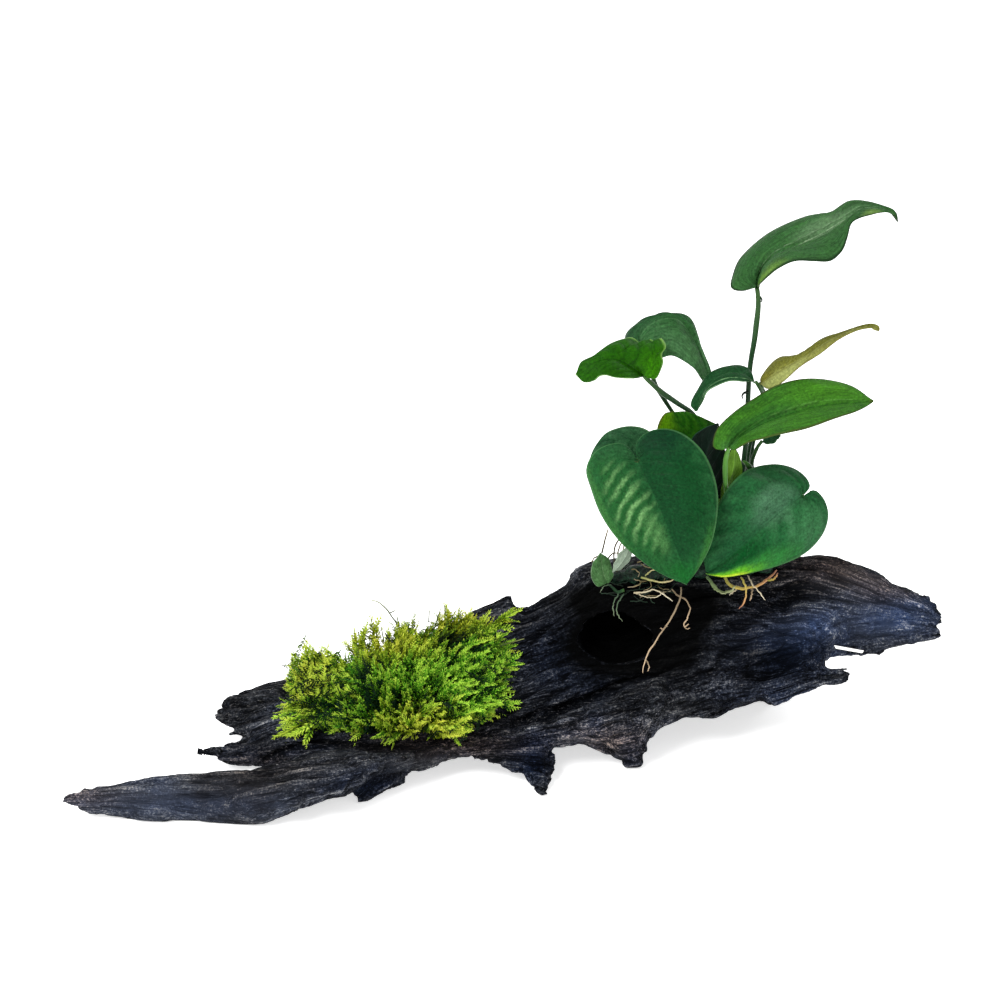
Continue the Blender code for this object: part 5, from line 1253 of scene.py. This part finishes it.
# %% Loops, spurs, sheath and leaflet stalk
LOOPS = [
    [(617, 572, 88), (614, 560, 89), (615, 547, 90), (620, 539, 91), (624, 545, 91), (621, 556, 90)],
    [(622, 570, 88), (618, 558, 89), (619, 548, 90), (623, 541, 91)],
    [(606, 560, 86), (600, 556, 86), (594, 558, 86), (592, 562, 86)],
    [(602, 553, 85), (604, 544, 85), (606, 536, 86), (608, 529, 86)],
    [(611, 566, 86), (608, 560, 86), (612, 554, 87), (618, 553, 88)],
]
SPURS = [
    [(757, 296, 86), (760, 297, 86), (762, 300, 86), (761, 302, 86)],
    [(748, 392, 95), (744, 393, 94), (742, 396, 94), (743, 399, 94)],
]
SHEATH = [(751, 470, 86), (747, 464, 86), (743, 461, 87)]
LEAFLET_STALK = [(608, 584, 84), (612, 587, 85), (618, 592, 86), (624, 590, 87)]

rods = []
for number, places in enumerate(LOOPS):
    places = [(across, down, back if across < STEM_START else thread_back(across)) for across, down, back in places]
    rods.append(strand("rod", wavering(in_view(places), 24, 0.2, number), (0.42, 0.38, 0.28), sides=1))
finish_piece(join_all(rods, "brown_loops"), BROWN_THREAD, "root_skin", "rhizome")
rods = [strand("rod", smooth_line(in_view(places), 10), (0.7, 0.5, 0.25), sides=1) for places in SPURS]
finish_piece(join_all(rods, "stalk_spurs"), DARK_THREAD, "green_stalk", "petiole_top")
sheath = strand("sheath_scale", smooth_line(in_view(SHEATH), 16), (1.5, 1.3, 0.5))
finish_piece(sheath, FRESH, "bright_leaf", "sheath")
leaflet_stalk = strand("leaflet_stem", smooth_line(in_view(LEAFLET_STALK), 16), (0.5, 0.7, 0.8))
finish_piece(leaflet_stalk, STALK, "green_root", "leaflet_stalk")

# %% [markdown]
# ## Moss
#
# The cushion is thousands of little feathery shoots, each a hair-thin stem with two rows of
# leaflets. Modelling a few shoots with care and copying them turned, scaled and tinted gives the
# same bushy look as the real plant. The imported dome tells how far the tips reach. The shoots that
# break the outline are set one by one, because the eye knows a cushion by its edge.

# %% Shoots, modelled once
LEAFLET_WIDTH = 0.165
LEAFLET_CONTRAST = 0.8
LEAFLET_RISE = 0.1
LEAFLET_ANGLE = math.radians(44.0)
SHOOT_STEM = (0.24, 0.22, 0.18, 0.13)
STEM_TONE = 0.4
SHOOT_KNOTS = 5


def model_leaflet():
    """A small kite with a little thickness, standing on its root and one millimetre long."""
    bpy.ops.object.select_all(action="DESELECT")
    bpy.ops.mesh.primitive_cone_add(vertices=3, radius1=MM, radius2=0.0, depth=MM)
    made = bpy.context.object
    apex = coordinates(made.data)[:, 2].argmax()
    kite = np.array([(0.0, 0.0, 0.0), (-LEAFLET_WIDTH, LEAFLET_RISE, 0.45), (LEAFLET_WIDTH, LEAFLET_RISE, 0.5)])
    set_coordinates(made.data, np.insert(kite, apex, (0.0, 0.02, 1.0), axis=0))
    write_attribute(made.data, "tone", coordinates(made.data)[:, 2])
    with edit_mode(made):
        bpy.ops.mesh.normals_make_consistent(inside=False)
    return made


def model_shoot(name, length, leaflets, leaf_length, curl, seed):
    """A curved stem with leaflets left and right; gives back its mesh as arrays."""
    dice = np.random.default_rng(seed)
    share = np.linspace(0.0, 1.0, SHOOT_KNOTS)
    line = np.stack([curl * share ** 2, 0.3 * curl * share, length * share], 1)
    parts = [strand(name, line, SHOOT_STEM, sides=0)]
    write_attribute(parts[0].data, "tone", np.full(len(parts[0].data.vertices), STEM_TONE))
    for index in range(leaflets):
        place = 0.1 + 0.9 * index / (leaflets - 1)
        side = 0.0 if index == leaflets - 1 else (-1.0) ** index
        size = leaf_length * (0.7 + 0.5 * math.sin(math.pi * min(place + 0.15, 1.0))) * dice.uniform(0.85, 1.15)
        turn = Matrix.Rotation(side * (LEAFLET_ANGLE + dice.normal(0.0, 0.1)), 4, "Y")
        tilt = Matrix.Rotation(dice.normal(0.0, 0.22), 4, "X") @ Matrix.Rotation(dice.normal(0.0, 0.3), 4, "Z")
        foot = Vector([np.interp(place, share, axis) * MM for axis in line.T])
        parts.append(put_in_scene("leaflet", leaflet.data.copy()))
        parts[-1].matrix_world = Matrix.Translation(foot) @ tilt @ turn @ Matrix.Scale(size, 4)
    bpy.context.view_layer.update()
    shoot = join_all(parts, name)
    body = coordinates(shoot.data)
    faces = []
    for face in shoot.data.polygons:
        first, *others = face.vertices
        faces += [(first, *pair) for pair in zip(others, others[1:])]
    tone = np.empty(len(body), np.float32)
    shoot.data.attributes["tone"].data.foreach_get("value", tone)
    # Darker at the foot of the shoot and of each leaflet, lighter at the tips: partly the fresh tips' colour and
    # partly painted shade.
    reach = np.clip(body[:, 2] / length, 0.0, 1.2) + LEAFLET_CONTRAST * (tone - 0.5)
    bpy.data.objects.remove(shoot)
    return body / length, np.array(faces), reach


leaflet = model_leaflet()
SHOOTS = [
    model_shoot("shoot_straight", 9.0, 15, 1.7, 0.4, 1),
    model_shoot("shoot_curled", 9.0, 13, 1.9, 2.2, 2),
    model_shoot("shoot_bent_back", 9.0, 14, 1.6, -1.8, 3),
    model_shoot("shoot_slender", 11.0, 15, 1.5, 1.0, 4),
    model_shoot("shoot_short", 7.0, 11, 1.9, 0.7, 5),
    model_shoot("frond_straight", 15.0, 35, 2.1, 0.8, 6),
    model_shoot("frond_curled", 15.0, 33, 2.2, 3.0, 7),
]
SHORT_SHOOTS = 5
bpy.data.objects.remove(leaflet)
print("triangles of the shoots:", [len(faces) for _, faces, _ in SHOOTS])

# %% [markdown]
# Every shoot of the cushion is written down as where its tip lies, which way it points, how long
# it is and how yellow it is. Most tips are drawn at random on the dome and a little below it.
# Hollows sink the tips, and none may stand above the skyline or inside the wood.

# %% Where the shoots stand
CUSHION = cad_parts["moss_clump"]
CUSHION_CORE = (402.0, 735.0, 62.0)
SHOOT_COUNT = 4000
TIP_DEPTH = 10.0
FROND_COUNT = 820
FROND_LENGTHS = (12.0, 17.0)
HOLLOW_DEPTH = 9.0
WOOD_GAP = 0.8
HOLLOWS = [
    ((366, 690), (15, 8)), ((461, 634), (9, 7)), ((441, 681), (9, 8)), ((309, 708), (9, 5)),
    ((398, 690), (6, 6)), ((478, 642), (7, 4)), ((455, 657), (8, 5)), ((372, 707), (12, 4)),
    ((497, 685), (8, 5)), ((330, 702), (10, 4)), ((425, 690), (5, 6)), ((386, 660), (8, 5)),
    ((350, 668), (8, 4)), ((420, 705), (5, 5)),
]
SKYLINE = [
    (270, 700), (286, 676), (291, 660), (300, 653), (318, 656), (333, 664), (346, 672), (353, 662),
    (359, 648), (372, 642), (384, 648), (392, 640), (400, 630), (412, 622), (425, 634), (440, 624),
    (455, 612), (470, 614), (490, 624), (506, 634), (514, 650), (520, 700),
]
dice = np.random.default_rng(20)

cushion_mesh = bpy.data.meshes.new("cushion_copy")
cushion_mesh.from_pydata([vertex.co[:] for vertex in CUSHION.data.vertices], [],
                         [face.vertices[:] for face in CUSHION.data.polygons])
cushion = put_in_scene("moss_bed", cushion_mesh)
with edit_mode(cushion):
    bpy.ops.mesh.remove_doubles(threshold=SEAM * MM)
    bpy.ops.mesh.quads_convert_to_tris()
cushion_tree = BVHTree.FromObject(cushion, bpy.context.evaluated_depsgraph_get())
corners = coordinates(cushion.data)[np.array([face.vertices[:] for face in cushion.data.polygons])]
core = in_view(CUSHION_CORE)[0]


def outside_wood(points):
    """How far points lie outside the wood, in millimetres; negative inside it."""
    gap = np.empty(len(points))
    for index, point in enumerate(points):
        hit, normal, _, distance = wood_tree.find_nearest(Vector(point * MM))
        gap[index] = distance / MM * (1.0 if (Vector(point * MM) - hit).dot(normal) > 0.0 else -1.0)
    return gap


def nearest_back(place, trial):
    """The trial depth at which a place of the view comes closest to the dome."""
    points = in_view([(*place, back) for back in trial])
    return trial[int(np.argmin([cushion_tree.find_nearest(Vector(point * MM))[3] for point in points]))]


edges = np.cross(corners[:, 1] - corners[:, 0], corners[:, 2] - corners[:, 0])
area = np.linalg.norm(edges, axis=1)
outward = unit(edges)
picked = dice.choice(len(area), SHOOT_COUNT * 3, p=area / area.sum())
mixing = np.sort(dice.random((len(picked), 2)), axis=1)
weights = np.stack([mixing[:, 0], mixing[:, 1] - mixing[:, 0], 1.0 - mixing[:, 1]], 1)
tips = (corners[picked] * weights[..., None]).sum(1)
hollow = np.clip(-1.8 * field(tips, 7.0, 7.0, 2, 8.8) - 0.2, 0.0, 0.6)
for middle, reach in HOLLOWS:
    hollow = np.maximum(hollow, 1.3 * spot(on_sheet(tips), middle, reach))
sunk = TIP_DEPTH * dice.random(len(tips)) ** 1.3 + HOLLOW_DEPTH * hollow
tips = tips - outward[picked] * sunk[:, None]
clear = outside_wood(tips)
seen = on_sheet(tips)
below = seen[:, 1] > np.interp(seen[:, 0], *zip(*SKYLINE)) - 2.0 + 5.0 * dice.random(len(tips))
keep = (clear > WOOD_GAP) & (outside_wood(tips + outward[picked] * 3.0) > WOOD_GAP) & below
tips, sunk, faced = (values[keep][:SHOOT_COUNT] for values in (tips, sunk, outward[picked]))
pointing = unit(0.55 * faced + 0.6 * unit(tips - core) + (0.0, -0.05, 0.3) + dice.normal(0.0, 0.33, tips.shape))
lengths = dice.uniform(6.0, 11.0, len(tips))
fronds = np.arange(len(tips)) < FROND_COUNT
lengths[fronds] = dice.uniform(*FROND_LENGTHS, FROND_COUNT)
tips[fronds] += faced[fronds] * (sunk[fronds] * 0.75)[:, None]
sunk[fronds] *= 0.25
flow = unit(tips[fronds] - core) * (1.3, 0.7, 1.0) + (0.0, -0.1, 0.12)
pointing[fronds] = unit(unit(flow) + 0.22 * faced[fronds] + dice.normal(0.0, 0.2, flow.shape))
print("shoots on the dome:", len(tips))

# %% [markdown]
# The shoots of the outline are written as foot and tip on the front view. Each stands at the
# depth where the dome is closest, but in front of the wood, and has four smaller companions.

# %% Shoots along the outline
EDGE_SHOOTS = [
    (298, 672, 288, 656), (300, 682, 287, 668), (304, 668, 301, 641), (314, 672, 311, 647),
    (322, 672, 322, 643), (332, 676, 333, 655), (342, 680, 341, 660), (360, 660, 346, 638),
    (358, 656, 350, 631), (361, 654, 360, 622), (376, 650, 369, 617), (388, 650, 383, 627),
    (398, 645, 396, 624), (404, 640, 392, 619), (412, 640, 413, 614), (424, 640, 431, 622),
    (438, 636, 440, 611), (450, 634, 444, 604), (456, 632, 459, 604), (466, 634, 470, 607),
    (474, 636, 484, 610), (482, 640, 498, 616), (492, 628, 516, 605), (488, 644, 504, 630),
    (494, 652, 514, 639), (496, 656, 516, 647), (496, 668, 521, 659), (494, 680, 519, 675),
    (492, 692, 514, 688), (480, 706, 519, 701), (476, 708, 499, 716), (456, 710, 476, 725),
    (446, 722, 459, 744), (430, 726, 436, 737), (414, 728, 408, 741), (400, 728, 386, 745),
    (392, 728, 375, 742), (366, 722, 350, 740), (350, 722, 328, 738), (316, 724, 289, 741),
    (304, 722, 275, 739), (300, 718, 278, 730), (306, 708, 274, 719), (302, 702, 279, 711),
    (308, 696, 288, 690), (300, 690, 292, 678), (444, 692, 463, 670), (430, 692, 424, 670),
    (384, 704, 371, 682), (302, 704, 292, 680), (312, 706, 305, 676), (322, 702, 318, 670),
    (333, 706, 331, 676), (312, 718, 296, 696), (328, 714, 316, 690), (342, 714, 337, 686),
    (306, 694, 300, 664), (420, 712, 438, 700), (456, 704, 482, 690), (340, 704, 318, 694),
    (352, 712, 330, 716), (396, 700, 388, 684), (470, 680, 492, 664), (412, 668, 428, 652),
    (452, 664, 470, 650), (330, 700, 306, 706), (436, 718, 446, 706),
]
EDGE_COMPANIONS = 4
LONG_SHOOT = 11.7

edge_tips, edge_ways, edge_lengths = [], [], []
for foot_across, foot_down, tip_across, tip_down in EDGE_SHOOTS:
    back = nearest_back((tip_across, tip_down), np.arange(30.0, 110.0, 2.0))
    for share in (0.0, 0.5, 1.0):
        across, down = foot_across + share * (tip_across - foot_across), foot_down + share * (tip_down - foot_down)
        while wood_tree.ray_cast(Vector(in_view((across, down, back))[0] * MM), Vector(TOWARD))[0] is not None:
            back -= 2.0
    foot, tip = in_view([(foot_across, foot_down, back), (tip_across, tip_down, back)])
    way = tip - foot
    long = np.linalg.norm(way)
    beside = unit(np.cross(way, TOWARD))
    for shift in (0.0, 2.2):
        edge_tips.append(tip - shift * unit(way) + shift * dice.normal(0.0, 0.35, 3))
        edge_ways.append(unit(way))
        edge_lengths.append(max(long, LONG_SHOOT))
    for _ in range(EDGE_COMPANIONS):
        lean = dice.choice((-1.0, 1.0)) * dice.uniform(0.25, 0.75)
        companion = unit(unit(way) + lean * beside + dice.normal(0.0, 0.15, 3))
        start = foot + way * dice.uniform(0.0, 0.4) + dice.normal(0.0, 1.2, 3)
        size = long * dice.uniform(0.4, 0.62)
        edge_tips.append(start + companion * size)
        edge_ways.append(companion)
        edge_lengths.append(size)
facing_front = np.concatenate([fronds, np.ones(len(edge_tips), bool)])
tips = np.vstack([tips, edge_tips])
pointing = np.vstack([pointing, edge_ways])
lengths = np.concatenate([lengths, edge_lengths])
sunk = np.concatenate([sunk, np.zeros(len(edge_tips))])
print("shoots along the outline:", len(edge_tips))

# %% [markdown]
# The moss turns from black-green in its depths to lime and straw at the tips: partly the fresh
# colour of the tips and partly painted shade in the depths. Each shoot carries two numbers that the
# finish reads: how far along it a point lies, with painted light and shade added, and how yellow it is.

# %% Moss finish
moss = Finish("feathery_moss", IOR=1.35, Specular_IOR_Level=0.1)
speckle = moss.cloud(900.0, 2.0)
# The level runs from the near-black of the shoots' feet to the lime and straw of the tips: partly their fresh
# colour and partly painted shade in the depths.
level = moss.clamped(1.12 * moss.attribute("reach") - 0.14 + 1.35 * (speckle - 0.5))
fresh = moss.ramp(level, [(0.0, (0.001, 0.010, 0.003)), (0.35, (0.018, 0.085, 0.003)),
                          (0.7, (0.095, 0.31, 0.012)), (1.0, (0.37, 0.62, 0.055))])
straw = moss.ramp(level, [(0.0, (0.005, 0.008, 0.001)), (0.35, (0.06, 0.075, 0.002)),
                          (0.7, (0.28, 0.32, 0.008)), (1.0, (0.62, 0.64, 0.07))])
moss.paint(moss.mix(moss.attribute("yellow"), fresh, straw), 0.5 + 0.3 * (speckle - 0.5))

# The bed's near-black is painted shade in the cushion's depths, over the dark green of old moss.
bed = Finish("dark_moss_bed", Specular_IOR_Level=0.05)
clods = bed.cloud(320.0, 4.0, 0.7)
bed.paint(bed.ramp(clods, [(0.3, (0.002, 0.006, 0.001)), (0.55, (0.012, 0.028, 0.003)),
                           (0.75, (0.04, 0.075, 0.008))]), 0.8)
bed.bump(clods, 1.0, 0.002)
print("moss finishes ready")

# %% [markdown]
# Now every written shoot becomes a copy of one of the modelled ones, and all of them are gathered
# in four pieces. Tips against the sky are painted light, for the light that comes round them, and
# light spots, hollows and sunk tips paint light and shade on the shoots.

# %% Moss pieces
MOSS_PIECES = 4
SKY_LEVEL = 0.42
SKY_BAND = 9.0
YELLOW_SPOTS = [
    ((300, 662), (36, 26), 0.28), ((365, 636), (30, 20), 0.5), ((455, 616), (44, 16), 0.6),
    ((425, 722), (50, 20), 0.42), ((290, 715), (16, 30), 0.25), ((405, 640), (40, 14), 0.4),
    ((475, 664), (44, 28), -0.8), ((345, 712), (40, 18), -0.4), ((400, 670), (40, 16), -0.4),
    ((360, 680), (26, 16), -0.3), ((490, 700), (26, 16), -0.4),
]
# Painted light on the moss: negative spots are painted shade, such as over the top of the cushion, and positive
# ones painted light.
MOSS_LIGHT = [
    ((440, 628), (60, 13), -0.4), ((305, 682), (24, 22), 0.27), ((425, 722), (50, 16), 0.24),
    ((480, 668), (26, 16), 0.06), ((300, 730), (30, 12), 0.2), ((380, 652), (26, 10), -0.22),
]

seen = on_sheet(tips)
yellowness = 0.35 + 0.18 * dice.normal(0.0, 1.0, len(tips)) - 0.02 * sunk
yellowness = np.clip(yellowness + all_spots(seen, YELLOW_SPOTS), 0.0, 1.0)
# Painted light per shoot from the spots, and painted shade in the hollows.
light = all_spots(seen, MOSS_LIGHT) - 0.5 * np.max([spot(seen, *hollow) for hollow in HOLLOWS], axis=0)
kinds = np.where(lengths > LONG_SHOOT - 0.1, dice.integers(SHORT_SHOOTS, len(SHOOTS), len(tips)),
                 dice.integers(0, SHORT_SHOOTS, len(tips)))
by_sky = seen[:, 1] < np.interp(seen[:, 0], *zip(*SKYLINE)) + SKY_BAND
spin = np.where(facing_front, dice.normal(0.0, 0.5, len(tips)), dice.uniform(0.0, math.tau, len(tips)))
# Front and outline shoots painted lighter, sunk shoots painted darker as shade, with a random tone.
light = light + np.where(facing_front, 0.12, 0.0) - 0.07 * sunk + dice.normal(0.0, 0.17, len(tips))
order = np.argsort(tips[:, 0] + 6.0 * dice.normal(0.0, 1.0, len(tips)))


def turned(way, angle):
    """A turn that lays z along a way; at angle 0 the leaflets spread to the viewer's left and right."""
    flat = unit(np.cross(way, TOWARD))
    turn = Matrix(np.stack([flat, np.cross(way, flat), way], 1).tolist())
    return np.array(turn @ Matrix.Rotation(angle, 3, "Z"))


for number, group in enumerate(np.array_split(order, MOSS_PIECES)):
    bodies, faces, reaches, hues, count = [], [], [], [], 0
    for index in group:
        body, shape_faces, reach = SHOOTS[kinds[index]]
        foot = tips[index] - pointing[index] * lengths[index]
        bodies.append(foot + body @ turned(pointing[index], spin[index]).T * lengths[index])
        faces.append(shape_faces + count)
        # Tips against the sky are painted light, at least SKY_LEVEL.
        reaches.append(np.maximum(reach + light[index], SKY_LEVEL if by_sky[index] else -np.inf))
        hues.append(np.full(len(body), yellowness[index]))
        count += len(body)
    made = bpy.data.meshes.new("moss_shoots")
    made.from_pydata((np.vstack(bodies) * MM).tolist(), [], np.vstack(faces).tolist())
    write_attribute(made, "reach", np.concatenate(reaches))
    write_attribute(made, "yellow", np.concatenate(hues))
    finish_piece(put_in_scene(f"moss_shoots_{number + 1}", made), moss.material, "moss", "moss_clump")

# %% Wisps above the moss
WISPS = [
    (0.35, [(397, 624), (392, 617), (388, 611), (380, 603), (371, 600)]),
    (0.28, [(390, 613), (394, 611), (396, 610)]),
    (0.3, [(429, 622), (429, 616), (430, 611), (430, 608)]),
    (0.28, [(445, 614), (445, 609), (444, 605), (443, 602)]),
    (0.35, [(437, 622), (438, 616), (440, 611), (441, 608)]),
    (0.3, [(384, 642), (383, 636), (382, 630), (381, 625)]),
    (0.3, [(500, 646), (508, 643), (516, 641), (524, 639)]),
    (0.28, [(488, 668), (496, 670), (504, 669), (512, 671)]),
]

rods = []
for number, (thick, places) in enumerate(WISPS):
    back = nearest_back(places[0], np.arange(40.0, 120.0, 2.0))
    route = clear_of_wood(smooth_line([(*place, back) for place in places], 8), 1.0)
    rods.append(strand("wisp", wavering(route, 12, 0.3, number), (thick, thick, thick * 0.6), sides=1))
finish_piece(join_all(rods, "moss_wisps"), MOSS_WISP, "moss", "moss_clump")

# %% Dark bed below the shoots
# The shrunken bed fills the gaps between the shoots with painted shade of the cushion's depths.
BED_SHARE = 0.66
BED_STEP = 1.6

only(cushion)
cushion.data.remesh_voxel_size = BED_STEP * MM
bpy.ops.object.voxel_remesh()
body = coordinates(cushion.data)
share = BED_SHARE + 0.06 * field(body, 6.0, 6.0, 2, 5.5)
set_coordinates(cushion.data, core + (body - core) * share[:, None])
only(cushion)
bpy.ops.object.shade_smooth()
finish_piece(cushion, bed.material, "moss", "moss_clump")

# %% Closing
for corner, value in zip(("low", "high"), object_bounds()):
    print(corner, [round(axis, 4) for axis in value])
